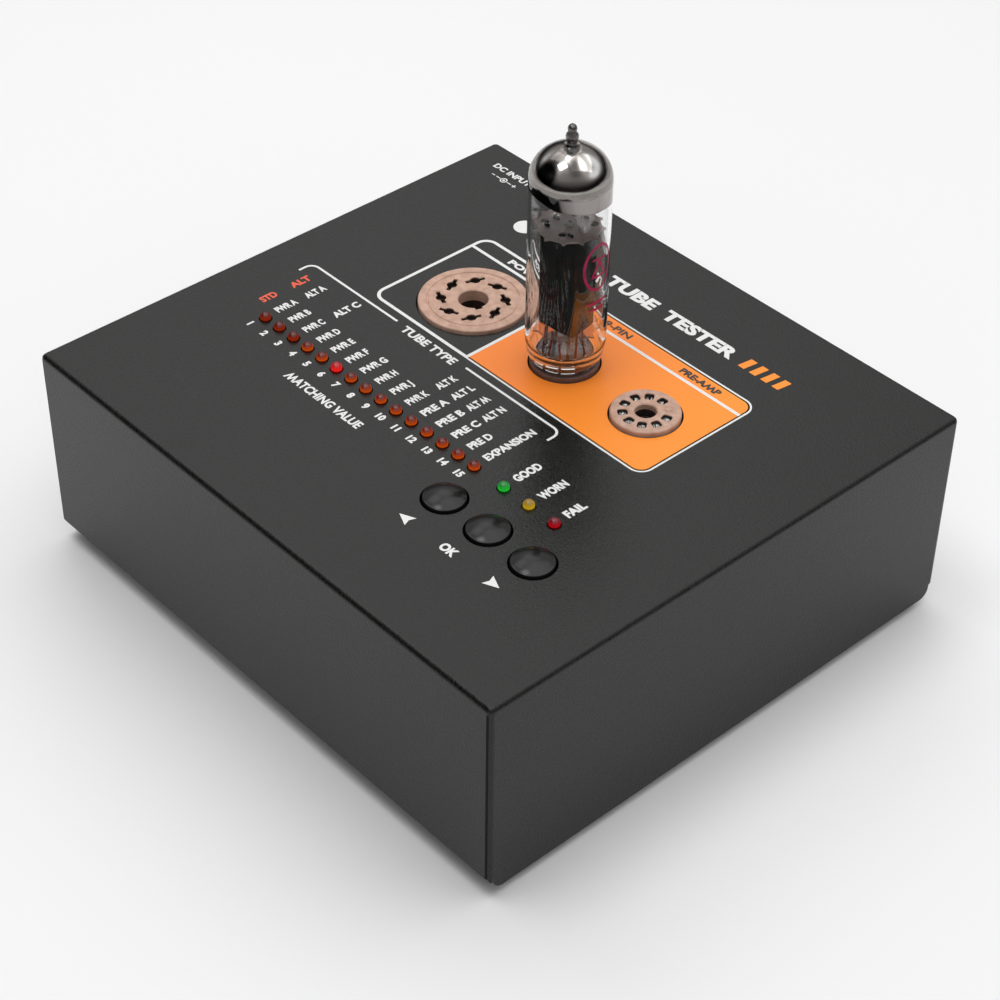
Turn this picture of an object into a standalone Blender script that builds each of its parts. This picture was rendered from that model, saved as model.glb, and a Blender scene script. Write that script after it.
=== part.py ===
# Bench tube tester: a folded sheet steel box with three tube sockets, a column of
# indicator lamps, three push buttons and a plugged-in miniature power tube.
#
# Frame: metres, +Z up.  +X runs along the panel lettering, left to right, +Y runs
# from the user to the rear panel.  The origin is the centre of the bounding box's
# bottom, on the surface that the feet stand on.
import math

import bmesh
import bpy
from mathutils import Matrix, Vector

# ---------------------------------------------------------------- dimensions (metres)
CASE_W = 0.1770            # X, over the side flanges
CASE_D = 0.1608            # Y, over the front and rear flanges
FOOT_H = 0.0028            # feet lift the case by this much
SIDE_FLANGE_H = 0.0602     # side flanges reach down to the tray's underside
END_FLANGE_H = 0.0562      # front and rear flanges stop above the tray's bend
SHEET_T = 0.0012           # sheet steel
LID_BEND_R = 0.00155       # outer radius of the lid's bends and of its closed vertical corners
SIDE_FLANGE_SETBACK = 0.00175   # below the end flanges, the side flanges stand back by this much
SIDE_FLANGE_CORNER_R = 0.0030
PANEL_Z = FOOT_H + SIDE_FLANGE_H          # top surface of the panel
GAP = 0.0003               # clearance between pieces that touch on the real object

TRAY_BEND_R = 0.0030
TRAY_WALL_H = 0.0190
TRAY_SIDE_GAP = 0.0004

FOOT_R = 0.0070
FOOT_POS = [(-0.0770, -0.0630), (0.0770, -0.0630), (-0.0770, 0.0630), (0.0770, 0.0630)]
CORNER_NAMES = ["front_left", "front_right", "rear_left", "rear_right"]
SCREW_R = 0.0015
SCREW_CLEAR_R = 0.00185

BOARD_TOP_Z = 0.0450
BOARD_T = 0.0016
BOARD_X = 0.0780
BOARD_Y = (-0.0520, 0.0760)
STANDOFF_POS = [(-0.0720, -0.0460), (0.0720, -0.0460), (-0.0500, 0.0680), (0.0720, 0.0680)]
STANDOFF_AF = 0.0055

# sockets: panel centre positions, pin circles of the octal and nine-pin miniature bases
OCTAL_C = (-0.0313, 0.0207)
POWER_C = (0.0047, 0.0207)
PREAMP_C = (0.0348, 0.0207)
OCTAL_R = 0.01505
OCTAL_RISE = 0.0010
OCTAL_BODY_R = 0.0130
OCTAL_PIN_CIRCLE_R = 0.01745 / 2
OCTAL_HOLE_R = 0.0042
OCTAL_SLOT_TILT = math.radians(24)
NOVAL_R = 0.00925
NOVAL_RISE = 0.0013
NOVAL_PIN_CIRCLE_R = 0.01189 / 2
NOVAL_HOLE_R = 0.0029
NOVAL_PIN_HOLE_R = 0.00105
NOVAL_GAP_ANGLE = math.radians(54)        # the missing tenth position
PANEL_HOLE_GAP = 0.0004

# lamps: 3 mm domed lamps
LED_R = 0.0015
LED_RIM_R = 0.0019
LED_TOP = 0.0020
LED_PITCH = 0.0060
LED_FIRST_X = -0.0620
LED_Y = -0.0262
STATUS_X = (0.0329, 0.0420, 0.0511)

# push buttons
BUTTON_X = (0.0262, 0.0421, 0.0580)
BUTTON_Y = -0.0396
BUTTON_R = 0.00545
BUTTON_HOLE_R = 0.00590
BUTTON_RIM_RISE = 0.0004
BUTTON_CROWN = 0.0016
BUTTON_TRAVEL = 0.0010
SWITCH_H = 0.0035
SWITCH_HALF = 0.0060

# direct-current inlet
JACK_X = -0.0710
JACK_Z = 0.0513

# plugged-in nine-pin power tube; heights are above the panel
TUBE_R = 0.0106
TUBE_WALL = 0.0009
TUBE_BASE_H = 0.0022
TUBE_SHOULDER_H = 0.0564
TUBE_DOME_H = 0.0656
TUBE_TIP_H = 0.0718
PIN_R = 0.00051
PIN_LEN = 0.0070
MICA_T = 0.0005
LOWER_MICA_H = 0.0120
UPPER_MICA_H = 0.0425
ANODE_TURN = math.radians(7.5)


# ---------------------------------------------------------------- helpers
def clear_scene():
    for ob in list(bpy.data.objects):
        bpy.data.objects.remove(ob, do_unlink=True)


def material(name, rgb, rough, metal=0.0, alpha=1.0, transmission=0.0):
    mat = bpy.data.materials.new(name)
    mat.use_nodes = True
    b = mat.node_tree.nodes["Principled BSDF"]
    b.inputs["Base Color"].default_value = (rgb[0], rgb[1], rgb[2], 1.0)
    b.inputs["Roughness"].default_value = rough
    b.inputs["Metallic"].default_value = metal
    b.inputs["Alpha"].default_value = alpha
    b.inputs["Transmission Weight"].default_value = transmission
    mat.diffuse_color = (rgb[0], rgb[1], rgb[2], alpha)
    return mat


def make(name, bm, mat=None, at=(0.0, 0.0, 0.0), smooth_angle=35):
    bmesh.ops.remove_doubles(bm, verts=bm.verts, dist=1e-7)
    bmesh.ops.recalc_face_normals(bm, faces=bm.faces)
    me = bpy.data.meshes.new(name)
    bm.to_mesh(me)
    bm.free()
    me.shade_smooth()
    me.set_sharp_from_angle(angle=math.radians(smooth_angle))
    ob = bpy.data.objects.new(name, me)
    ob.location = at
    bpy.context.scene.collection.objects.link(ob)
    if mat is not None:
        me.materials.append(mat)
    return ob


def cutter(name, bm, at=(0.0, 0.0, 0.0)):
    ob = make(name, bm, None, at)
    ob.hide_render = True
    ob.display_type = "WIRE"
    return ob


def boolean(ob, other, operation="DIFFERENCE"):
    m = ob.modifiers.new(other.name, "BOOLEAN")
    m.operation = operation
    m.solver = "EXACT"
    m.object = other
    return m


def add_box(bm, lo, hi, rot=0.0, about=(0.0, 0.0)):
    vs = []
    for z in (lo[2], hi[2]):
        for x, y in ((lo[0], lo[1]), (hi[0], lo[1]), (hi[0], hi[1]), (lo[0], hi[1])):
            if rot:
                dx, dy = x - about[0], y - about[1]
                x = about[0] + dx * math.cos(rot) - dy * math.sin(rot)
                y = about[1] + dx * math.sin(rot) + dy * math.cos(rot)
            vs.append(bm.verts.new((x, y, z)))
    for f in ((3, 2, 1, 0), (4, 5, 6, 7), (0, 1, 5, 4), (1, 2, 6, 5), (2, 3, 7, 6), (3, 0, 4, 7)):
        bm.faces.new([vs[i] for i in f])
    return vs


def add_prism(bm, outline, z0, z1):
    """Upright prism on a plan outline listed counter-clockwise."""
    lo = [bm.verts.new((x, y, z0)) for x, y in outline]
    hi = [bm.verts.new((x, y, z1)) for x, y in outline]
    n = len(outline)
    bm.faces.new(list(reversed(lo)))
    bm.faces.new(hi)
    for i in range(n):
        j = (i + 1) % n
        bm.faces.new((lo[i], lo[j], hi[j], hi[i]))


def circle(r, n, cx=0.0, cy=0.0, turn=0.0):
    return [(cx + r * math.cos(turn + 2 * math.pi * i / n),
             cy + r * math.sin(turn + 2 * math.pi * i / n)) for i in range(n)]


def add_cylinder(bm, r, z0, z1, n, cx=0.0, cy=0.0, turn=0.0):
    add_prism(bm, circle(r, n, cx, cy, turn), z0, z1)


def turned(bm, profile, n, closed=False):
    """Turn a profile of (radius, height) points about Z.

    An open profile starts and ends on the axis; a closed one is a loop that stays
    off the axis and makes a ring-like body."""
    rings = []
    for r, z in profile:
        if r < 1e-9:
            rings.append([bm.verts.new((0.0, 0.0, z))])
        else:
            rings.append([bm.verts.new((r * math.cos(2 * math.pi * i / n),
                                        r * math.sin(2 * math.pi * i / n), z)) for i in range(n)])
    count = len(rings) if closed else len(rings) - 1
    for k in range(count):
        a, b = rings[k], rings[(k + 1) % len(rings)]
        for i in range(n):
            j = (i + 1) % n
            if len(a) == 1:
                bm.faces.new((a[0], b[j], b[i]))
            elif len(b) == 1:
                bm.faces.new((a[i], a[j], b[0]))
            else:
                bm.faces.new((a[i], a[j], b[j], b[i]))


def rounded_top_box(bm, half_x, half_y, z0, z1, r, segments):
    """Box whose top edges and vertical corners carry a bend radius."""
    add_box(bm, (-half_x, -half_y, z0), (half_x, half_y, z1))
    bent = [e for e in bm.edges
            if all(abs(v.co.z - z1) < 1e-6 for v in e.verts)
            or abs(e.verts[0].co.z - e.verts[1].co.z) > 1e-6]
    bmesh.ops.bevel(bm, geom=bent, offset=r, segments=segments, profile=0.5, affect="EDGES")


def arc(cx, cy, r, a0, a1, n):
    return [(cx + r * math.cos(a0 + (a1 - a0) * i / n), cy + r * math.sin(a0 + (a1 - a0) * i / n))
            for i in range(n + 1)]


def extrude_x(bm, outline_yz, x0, x1):
    lo = [bm.verts.new((x0, y, z)) for y, z in outline_yz]
    hi = [bm.verts.new((x1, y, z)) for y, z in outline_yz]
    n = len(outline_yz)
    bm.faces.new(list(reversed(lo)))
    bm.faces.new(hi)
    for i in range(n):
        j = (i + 1) % n
        bm.faces.new((lo[i], lo[j], hi[j], hi[i]))


# ---------------------------------------------------------------- casing
def build_cover(mat):
    hx, hy = CASE_W / 2, CASE_D / 2
    bm = bmesh.new()
    rounded_top_box(bm, hx, hy, FOOT_H, PANEL_Z, LID_BEND_R, 3)
    cover = make("top_cover", bm, mat)

    bm = bmesh.new()
    rounded_top_box(bm, hx - SHEET_T, hy - SHEET_T, FOOT_H - 0.004, PANEL_Z - SHEET_T,
                    LID_BEND_R - SHEET_T, 2)
    boolean(cover, cutter("cut_cover_cavity", bm))

    # panel holes for sockets, buttons and lamps, and the inlet hole in the rear flange
    bm = bmesh.new()
    z0, z1 = PANEL_Z - 0.003, PANEL_Z + 0.002
    add_cylinder(bm, OCTAL_R + PANEL_HOLE_GAP, z0, z1, 32, *OCTAL_C)
    add_cylinder(bm, NOVAL_R + PANEL_HOLE_GAP, z0, z1, 28, *POWER_C)
    add_cylinder(bm, NOVAL_R + PANEL_HOLE_GAP, z0, z1, 28, *PREAMP_C)
    for x in BUTTON_X:
        add_cylinder(bm, BUTTON_HOLE_R, z0, z1, 20, x, BUTTON_Y)
    for x in lamp_positions():
        add_cylinder(bm, LED_R + 0.00035, z0, z1, 8, x, LED_Y)
    jack = bmesh.new()
    add_cylinder(jack, 0.0048, 0.0, 0.006, 16)
    bmesh.ops.transform(jack, matrix=Matrix.Translation((JACK_X, hy - 0.003, JACK_Z))
                        @ Matrix.Rotation(-math.pi / 2, 4, "X"), verts=jack.verts)
    me = bpy.data.meshes.new("jack_hole")
    jack.to_mesh(me)
    jack.free()
    bm.from_mesh(me)
    bpy.data.meshes.remove(me)
    boolean(cover, cutter("cut_cover_holes", bm))

    # below the end flanges, which stop above the tray's bend, only the side flanges go on down,
    # each with its lower corners rounded
    bm = bmesh.new()
    y1 = hy - SIDE_FLANGE_SETBACK
    r = SIDE_FLANGE_CORNER_R
    for sy in (-1, 1):
        curve = arc(y1 - r, FOOT_H + r, r, 0.0, -math.pi / 2, 5)
        outline = [(hy + 0.003, FOOT_H - 0.003), (hy + 0.003, PANEL_Z - END_FLANGE_H),
                   (y1, PANEL_Z - END_FLANGE_H)] + curve + [(y1 - r, FOOT_H - 0.003)]
        extrude_x(bm, [(sy * y, z) for y, z in outline], -hx - 0.002, hx + 0.002)
    boolean(cover, cutter("cut_cover_ends", bm))
    return cover


def lamp_positions():
    return [LED_FIRST_X + LED_PITCH * i for i in range(15)] + list(STATUS_X)


def build_tray(mat):
    y_out = CASE_D / 2 - SHEET_T - 0.00035
    r, t, z0 = TRAY_BEND_R, SHEET_T, FOOT_H
    top = z0 + TRAY_WALL_H
    outer = [(-y_out, top)] + arc(-y_out + r, z0 + r, r, math.pi, 1.5 * math.pi, 5) \
        + arc(y_out - r, z0 + r, r, -math.pi / 2, 0.0, 5) + [(y_out, top)]
    inner = [(y_out - t, top)] + arc(y_out - r, z0 + r, r - t, 0.0, -math.pi / 2, 4) \
        + arc(-y_out + r, z0 + r, r - t, 1.5 * math.pi, math.pi, 4) + [(-y_out + t, top)]
    hx = CASE_W / 2 - SHEET_T - TRAY_SIDE_GAP
    bm = bmesh.new()
    extrude_x(bm, outer + inner, -hx, hx)
    tray = make("bottom_tray", bm, mat)
    bm = bmesh.new()
    for x, y in FOOT_POS:
        add_cylinder(bm, SCREW_CLEAR_R, z0 - 0.001, z0 + 0.003, 12, x, y)
    boolean(tray, cutter("cut_tray_holes", bm))


def build_feet(mat, screw_mat):
    top = FOOT_H - GAP
    for name, (x, y) in zip(CORNER_NAMES, FOOT_POS):
        bm = bmesh.new()
        turned(bm, [(0.0036, 0.0), (0.0064, 0.0), (FOOT_R, 0.0006), (FOOT_R, top),
                    (SCREW_CLEAR_R, top), (SCREW_CLEAR_R, 0.0016), (0.0036, 0.0016)], 16, closed=True)
        make("foot_" + name, bm, mat, (x, y, 0.0))
        bm = bmesh.new()
        turned(bm, [(0.0, 0.0002), (0.0022, 0.0003), (0.0028, 0.0008), (0.0028, 0.0013),
                    (SCREW_R, 0.0013), (SCREW_R, 0.0100), (0.0, 0.0108)], 10)
        make("foot_screw_" + name, bm, screw_mat, (x, y, 0.0))


def build_brackets(mat):
    t = 0.0012
    x_out = CASE_W / 2 - SHEET_T - GAP
    z0 = FOOT_H + SHEET_T + GAP
    for name, s in (("side_bracket_left", -1), ("side_bracket_right", 1)):
        outline = [(x_out, z0), (x_out, z0 + 0.013), (x_out - t, z0 + 0.013), (x_out - t, z0 + t),
                   (x_out - 0.0170, z0 + t), (x_out - 0.0170, z0)]
        bm = bmesh.new()
        lo = [bm.verts.new((s * x, -0.0700, z)) for x, z in outline]
        hi = [bm.verts.new((s * x, 0.0700, z)) for x, z in outline]
        n = len(outline)
        bm.faces.new(lo)
        bm.faces.new(list(reversed(hi)))
        for i in range(n):
            j = (i + 1) % n
            bm.faces.new((lo[i], hi[i], hi[j], lo[j]))
        ob = make(name, bm, mat)
        bm = bmesh.new()
        for x, y in FOOT_POS:
            if x * s > 0:
                add_cylinder(bm, SCREW_CLEAR_R, z0 - 0.001, z0 + 0.003, 12, x, y)
        boolean(ob, cutter("cut_" + name, bm))


# ---------------------------------------------------------------- board and its hardware
def build_board(mat, hex_mat, screw_mat):
    z1, z0 = BOARD_TOP_Z, BOARD_TOP_Z - BOARD_T
    bm = bmesh.new()
    add_box(bm, (-BOARD_X, BOARD_Y[0], z0), (BOARD_X, BOARD_Y[1], z1))
    board = make("main_board", bm, mat)
    bm = bmesh.new()
    for x, y in STANDOFF_POS:
        add_cylinder(bm, SCREW_CLEAR_R, z0 - 0.001, z1 + 0.001, 12, x, y)
    boolean(board, cutter("cut_board_holes", bm))

    under = PANEL_Z - SHEET_T - GAP
    for name, (x, y) in zip(CORNER_NAMES, STANDOFF_POS):
        bm = bmesh.new()
        add_cylinder(bm, STANDOFF_AF / math.sqrt(3), z1 + GAP, under, 6)
        hexagon = make("board_standoff_" + name, bm, hex_mat, (x, y, 0.0))
        bm = bmesh.new()
        add_cylinder(bm, SCREW_CLEAR_R, z1 - 0.001, z1 + 0.0085, 10)
        boolean(hexagon, cutter("cut_standoff_" + name, bm, (x, y, 0.0)))
        bm = bmesh.new()
        turned(bm, [(0.0, z0 - 0.0022), (0.0022, z0 - 0.0020), (0.0028, z0 - 0.0014), (0.0028, z0 - GAP),
                    (SCREW_R, z0 - GAP), (SCREW_R, z1 + 0.0060), (0.0, z1 + 0.0068)], 10)
        make("board_screw_" + name, bm, screw_mat, (x, y, 0.0))


def build_octal_socket(mat):
    x, y = OCTAL_C
    top, base = PANEL_Z + OCTAL_RISE, BOARD_TOP_Z + GAP
    bm = bmesh.new()
    turned(bm, [(OCTAL_HOLE_R, base), (OCTAL_BODY_R, base), (OCTAL_BODY_R, PANEL_Z - 0.0055),
                (OCTAL_R, PANEL_Z - 0.0045), (OCTAL_R, top - 0.0003), (OCTAL_R - 0.0003, top),
                (OCTAL_HOLE_R, top)], 32, closed=True)
    socket = make("octal_socket", bm, mat, (x, y, 0.0))
    # pin holes first, then the contact slots that cross them, then the key notch
    bm = bmesh.new()
    for i in range(8):
        a = 2 * math.pi * i / 8
        add_cylinder(bm, 0.0012, top - 0.0120, top + 0.001, 8,
                     OCTAL_PIN_CIRCLE_R * math.cos(a), OCTAL_PIN_CIRCLE_R * math.sin(a), a)
    boolean(socket, cutter("cut_octal_pins", bm, (x, y, 0.0)))
    bm = bmesh.new()
    for i in range(8):
        a = 2 * math.pi * i / 8
        cx, cy = OCTAL_PIN_CIRCLE_R * math.cos(a), OCTAL_PIN_CIRCLE_R * math.sin(a)
        add_box(bm, (cx - 0.0026, cy - 0.00045, top - 0.0110), (cx + 0.0026, cy + 0.00045, top + 0.0012),
                a + math.pi / 2 + OCTAL_SLOT_TILT, (cx, cy))
    boolean(socket, cutter("cut_octal_slots", bm, (x, y, 0.0)))
    bm = bmesh.new()
    key = math.radians(-22.5)
    add_box(bm, (OCTAL_HOLE_R - 0.0012, -0.0011, base - 0.001), (OCTAL_HOLE_R + 0.0010, 0.0011, top + 0.001),
            key, (0.0, 0.0))
    boolean(socket, cutter("cut_octal_key", bm, (x, y, 0.0)))


def noval_angles():
    return [NOVAL_GAP_ANGLE + math.radians(36) * k for k in range(1, 10)]


def build_noval_socket(name, centre, mat):
    x, y = centre
    top, base = PANEL_Z + NOVAL_RISE, BOARD_TOP_Z + GAP
    bm = bmesh.new()
    turned(bm, [(NOVAL_HOLE_R, base), (NOVAL_R - 0.0006, base), (NOVAL_R - 0.0006, PANEL_Z - 0.0050),
                (NOVAL_R, PANEL_Z - 0.0045), (NOVAL_R, top - 0.0003), (NOVAL_R - 0.0003, top),
                (NOVAL_HOLE_R, top)], 28, closed=True)
    socket = make(name, bm, mat, (x, y, 0.0))
    bm = bmesh.new()
    for a in noval_angles():
        add_cylinder(bm, NOVAL_PIN_HOLE_R, top - 0.0100, top + 0.001, 8,
                     NOVAL_PIN_CIRCLE_R * math.cos(a), NOVAL_PIN_CIRCLE_R * math.sin(a), a)
    boolean(socket, cutter("cut_" + name, bm, (x, y, 0.0)))


def lamp_mesh(name):
    """One 3 mm lamp: rim under the panel, domed body above it, two leads to the board."""
    bm = bmesh.new()
    z = PANEL_Z
    turned(bm, [(0.0, z - 0.0025), (LED_RIM_R, z - 0.0025), (LED_RIM_R, z - 0.0015), (LED_R, z - 0.0015),
                (LED_R, z + LED_TOP - LED_R), (0.0011, z + LED_TOP - 0.00045), (0.0, z + LED_TOP)], 8)
    body = make(name + "_body", bm)
    bm = bmesh.new()
    for s in (-1, 1):
        add_box(bm, (s * 0.00127 - 0.00025, -0.00025, BOARD_TOP_Z + GAP),
                (s * 0.00127 + 0.00025, 0.00025, z - 0.0020))
    leads = make(name + "_leads", bm)
    boolean(body, leads, "UNION")
    deps = bpy.context.evaluated_depsgraph_get()
    me = bpy.data.meshes.new_from_object(body.evaluated_get(deps))
    me.name = name
    for ob in (body, leads):
        bpy.data.objects.remove(ob, do_unlink=True)
    me.materials.clear()
    return me


def build_lamps(red, bright, green, amber):
    base = lamp_mesh("lamp")
    names = ["led_%02d" % (i + 1) for i in range(15)] + ["led_good", "led_worn", "led_fail"]
    mats = [red] * 15 + [green, amber, red]
    mats[5] = bright
    shared = {}
    for name, mat, x in zip(names, mats, lamp_positions()):
        if mat.name not in shared:
            me = base.copy()
            me.materials.append(mat)
            shared[mat.name] = me
        ob = bpy.data.objects.new(name, shared[mat.name])
        ob.location = (x, LED_Y, 0.0)
        bpy.context.scene.collection.objects.link(ob)


def build_buttons(cap_mat, switch_mat):
    rim = PANEL_Z + BUTTON_RIM_RISE
    skirt = PANEL_Z - 0.0060
    foot = BOARD_TOP_Z + GAP + SWITCH_H + BUTTON_TRAVEL + GAP
    for name, x in zip(("button_left", "button_ok", "button_right"), BUTTON_X):
        profile = [(0.0, foot), (0.0020, foot), (0.0020, skirt), (BUTTON_R, skirt), (BUTTON_R, rim)]
        for k in (1, 2, 3):
            a = math.pi / 2 * k / 4
            profile.append((BUTTON_R * math.cos(a), rim + BUTTON_CROWN * math.sin(a)))
        profile.append((0.0, rim + BUTTON_CROWN))
        bm = bmesh.new()
        turned(bm, profile, 18)
        make(name, bm, cap_mat, (x, BUTTON_Y, 0.0))
        bm = bmesh.new()
        z0 = BOARD_TOP_Z + GAP
        h, c = SWITCH_HALF, 0.0008
        add_prism(bm, [(h, -h + c), (h, h - c), (h - c, h), (-h + c, h), (-h, h - c), (-h, -h + c),
                       (-h + c, -h), (h - c, -h)], z0, z0 + SWITCH_H)
        make(name.replace("button", "switch"), bm, switch_mat, (x, BUTTON_Y, 0.0))


def build_jack(mat):
    """Direct-current inlet: square body on the board, round nose in the rear flange."""
    hy = CASE_D / 2
    bm = bmesh.new()
    add_box(bm, (-0.0045, -0.0145, -0.0056), (0.0045, -0.0020, 0.0050))
    jack = make("dc_jack", bm, mat, (JACK_X, hy, JACK_Z))
    turn = Matrix.Rotation(-math.pi / 2, 4, "X")
    bm = bmesh.new()
    add_cylinder(bm, 0.0044, -0.0040, 0.0, 16)
    bmesh.ops.transform(bm, matrix=turn, verts=bm.verts)
    boolean(jack, cutter("add_jack_nose", bm, (JACK_X, hy, JACK_Z)), "UNION")
    bm = bmesh.new()
    add_cylinder(bm, 0.0032, -0.0100, 0.001, 14)
    bmesh.ops.transform(bm, matrix=turn, verts=bm.verts)
    boolean(jack, cutter("cut_jack_bore", bm, (JACK_X, hy, JACK_Z)))
    bm = bmesh.new()
    add_cylinder(bm, 0.0010, -0.0110, -0.0010, 8)
    bmesh.ops.transform(bm, matrix=turn, verts=bm.verts)
    boolean(jack, cutter("add_jack_pin", bm, (JACK_X, hy, JACK_Z)), "UNION")


def build_underside_parts(core, can, chip):
    under = BOARD_TOP_Z - BOARD_T - GAP
    # step-up transformer: winding between two core halves
    bm = bmesh.new()
    add_box(bm, (-0.0130, -0.0080, -0.0160), (0.0130, 0.0080, 0.0))
    ob = make("boost_transformer", bm, core, (0.0300, 0.0300, under))
    bm = bmesh.new()
    add_prism(bm, [(x, y) for x, y in ((-0.0085, -0.0110), (0.0085, -0.0110), (0.0100, -0.0095),
                                       (0.0100, 0.0095), (0.0085, 0.0110), (-0.0085, 0.0110),
                                       (-0.0100, 0.0095), (-0.0100, -0.0095))], -0.0130, -0.0010)
    boolean(ob, cutter("add_transformer_winding", bm, (0.0300, 0.0300, under)), "UNION")
    # high-voltage reservoir capacitor
    bm = bmesh.new()
    turned(bm, [(0.0, -0.0250), (0.0074, -0.0250), (0.0080, -0.0243), (0.0080, -0.0026), (0.0075, -0.0020),
                (0.0080, -0.0013), (0.0080, 0.0), (0.0, 0.0)], 16)
    make("reservoir_capacitor", bm, can, (0.0600, 0.0300, under))
    # microcontroller
    bm = bmesh.new()
    add_box(bm, (-0.0060, -0.0060, -0.0012), (0.0060, 0.0060, 0.0))
    make("microcontroller", bm, chip, (-0.0200, -0.0200, under))


# ---------------------------------------------------------------- the plugged-in tube
def dome(r, h, n, power=2.0):
    pts = []
    for i in range(1, n):
        a = math.pi / 2 * i / n
        pts.append((r * math.cos(a) ** (2 / power), h * math.sin(a) ** (2 / power)))
    return pts


def build_tube(glass, pin_mat, black, mica, bright, oxide):
    x, y = POWER_C
    z = PANEL_Z
    # envelope: straight wall, round dome, pinched-off tip, open at the stem
    outer = [(0.0087, TUBE_BASE_H), (0.0094, TUBE_BASE_H + 0.0008), (0.0101, TUBE_BASE_H + 0.0026),
             (TUBE_R, TUBE_BASE_H + 0.0060), (TUBE_R, TUBE_SHOULDER_H)]
    outer += [(r, TUBE_SHOULDER_H + h) for r, h in dome(TUBE_R, TUBE_DOME_H - TUBE_SHOULDER_H, 8)
              if r > 0.0025]
    outer += [(0.00135, 0.0664), (0.0015, 0.0676), (0.00165, 0.0683), (0.0011, 0.0696), (0.0012, 0.0704),
              (0.0007, TUBE_TIP_H - 0.0004), (0.0, TUBE_TIP_H)]
    ri = TUBE_R - TUBE_WALL
    inner = [(0.0081, TUBE_BASE_H), (0.0081, TUBE_BASE_H + 0.0030), (ri, TUBE_BASE_H + 0.0070),
             (ri, TUBE_SHOULDER_H - 0.0002)]
    inner += [(r, TUBE_SHOULDER_H - 0.0002 + h)
              for r, h in dome(ri, TUBE_DOME_H - TUBE_SHOULDER_H - TUBE_WALL + 0.0002, 6)
              if r > 0.0025]
    inner += [(0.0, TUBE_DOME_H - TUBE_WALL)]
    bm = bmesh.new()
    turned(bm, [(0.0, inner[-1][1])] + list(reversed(inner[:-1])) + outer, 24)
    make("tube_envelope", bm, glass, (x, y, z), 50)

    # stem: glass button with nine pins below and nine support wires above
    bm = bmesh.new()
    turned(bm, [(0.0, TUBE_BASE_H), (0.0078, TUBE_BASE_H), (0.0078, TUBE_BASE_H + 0.0024),
                (0.0, TUBE_BASE_H + 0.0024)], 16)
    stem = make("tube_stem", bm, pin_mat, (x, y, z))
    bm = bmesh.new()
    for a in noval_angles():
        add_cylinder(bm, PIN_R, TUBE_BASE_H - PIN_LEN, LOWER_MICA_H - GAP, 6,
                     NOVAL_PIN_CIRCLE_R * math.cos(a), NOVAL_PIN_CIRCLE_R * math.sin(a), a)
    boolean(stem, cutter("add_stem_pins", bm, (x, y, z)), "UNION")

    # anode: sheet box with folded corners, open at both ends
    wide = [(0.00515, -0.00465), (0.00575, -0.00405), (0.00575, 0.00405), (0.00515, 0.00465),
            (-0.00515, 0.00465), (-0.00575, 0.00405), (-0.00575, -0.00405), (-0.00515, -0.00465)]
    t = 0.0006
    narrow = [(px * (1 - t / 0.00575), py * (1 - t / 0.00465)) for px, py in wide]
    z0, z1 = LOWER_MICA_H + MICA_T + GAP, UPPER_MICA_H - GAP
    bm = bmesh.new()
    rings = []
    for pts, h in ((wide, z0), (wide, z1), (narrow, z1), (narrow, z0)):
        rings.append([bm.verts.new((px, py, h)) for px, py in pts])
    for k in range(4):
        a, b = rings[k], rings[(k + 1) % 4]
        for i in range(8):
            j = (i + 1) % 8
            bm.faces.new((a[i], a[j], b[j], b[i]))
    ob = make("tube_anode", bm, black, (x, y, z))
    ob.rotation_euler = (0.0, 0.0, ANODE_TURN)

    # control grid: oval sleeve between cathode and anode
    bm = bmesh.new()
    rings = []
    for s, h in ((1.0, z0), (1.0, z1), (0.84, z1), (0.84, z0)):
        rings.append([bm.verts.new((0.0032 * s * math.cos(2 * math.pi * i / 12),
                                    0.0022 * s * math.sin(2 * math.pi * i / 12), h)) for i in range(12)])
    for k in range(4):
        a, b = rings[k], rings[(k + 1) % 4]
        for i in range(12):
            j = (i + 1) % 12
            bm.faces.new((a[i], a[j], b[j], b[i]))
    ob = make("tube_control_grid", bm, bright, (x, y, z))
    ob.rotation_euler = (0.0, 0.0, ANODE_TURN)

    bm = bmesh.new()
    add_cylinder(bm, 0.0009, z0, z1, 10)
    make("tube_cathode", bm, oxide, (x, y, z))

    # mica spacers, serrated to grip the glass
    for name, h, r_out in (("tube_lower_mica", LOWER_MICA_H, 0.0088), ("tube_upper_mica", UPPER_MICA_H, 0.0092)):
        outline = []
        teeth = 12
        for i in range(teeth):
            a = 2 * math.pi * i / teeth
            da = 2 * math.pi / teeth
            outline.append((r_out * math.cos(a), r_out * math.sin(a)))
            for f in (0.22, 0.78):
                rr = r_out - 0.0010
                outline.append((rr * math.cos(a + da * f), rr * math.sin(a + da * f)))
        bm = bmesh.new()
        add_prism(bm, outline, h, h + MICA_T)
        ob = make(name, bm, mica, (x, y, z))
        ob.rotation_euler = (0.0, 0.0, ANODE_TURN)

    # getter: ring held above the upper mica on one post
    bm = bmesh.new()
    ring_h, ring_r, wire = 0.0520, 0.0042, 0.0004
    loops = []
    for i in range(16):
        a = 2 * math.pi * i / 16
        loops.append([bm.verts.new(((ring_r + wire * math.cos(b)) * math.cos(a),
                                    (ring_r + wire * math.cos(b)) * math.sin(a),
                                    ring_h + wire * math.sin(b)))
                      for b in (0.0, math.pi / 2, math.pi, 1.5 * math.pi)])
    for i in range(16):
        a, b = loops[i], loops[(i + 1) % 16]
        for j in range(4):
            k = (j + 1) % 4
            bm.faces.new((a[j], b[j], b[k], a[k]))
    getter = make("tube_getter", bm, bright, (x, y, z))
    bm = bmesh.new()
    add_box(bm, (ring_r - 0.0003, -0.0003, UPPER_MICA_H + MICA_T + GAP), (ring_r + 0.0003, 0.0003, ring_h))
    boolean(getter, cutter("add_getter_post", bm, (x, y, z)), "UNION")


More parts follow.
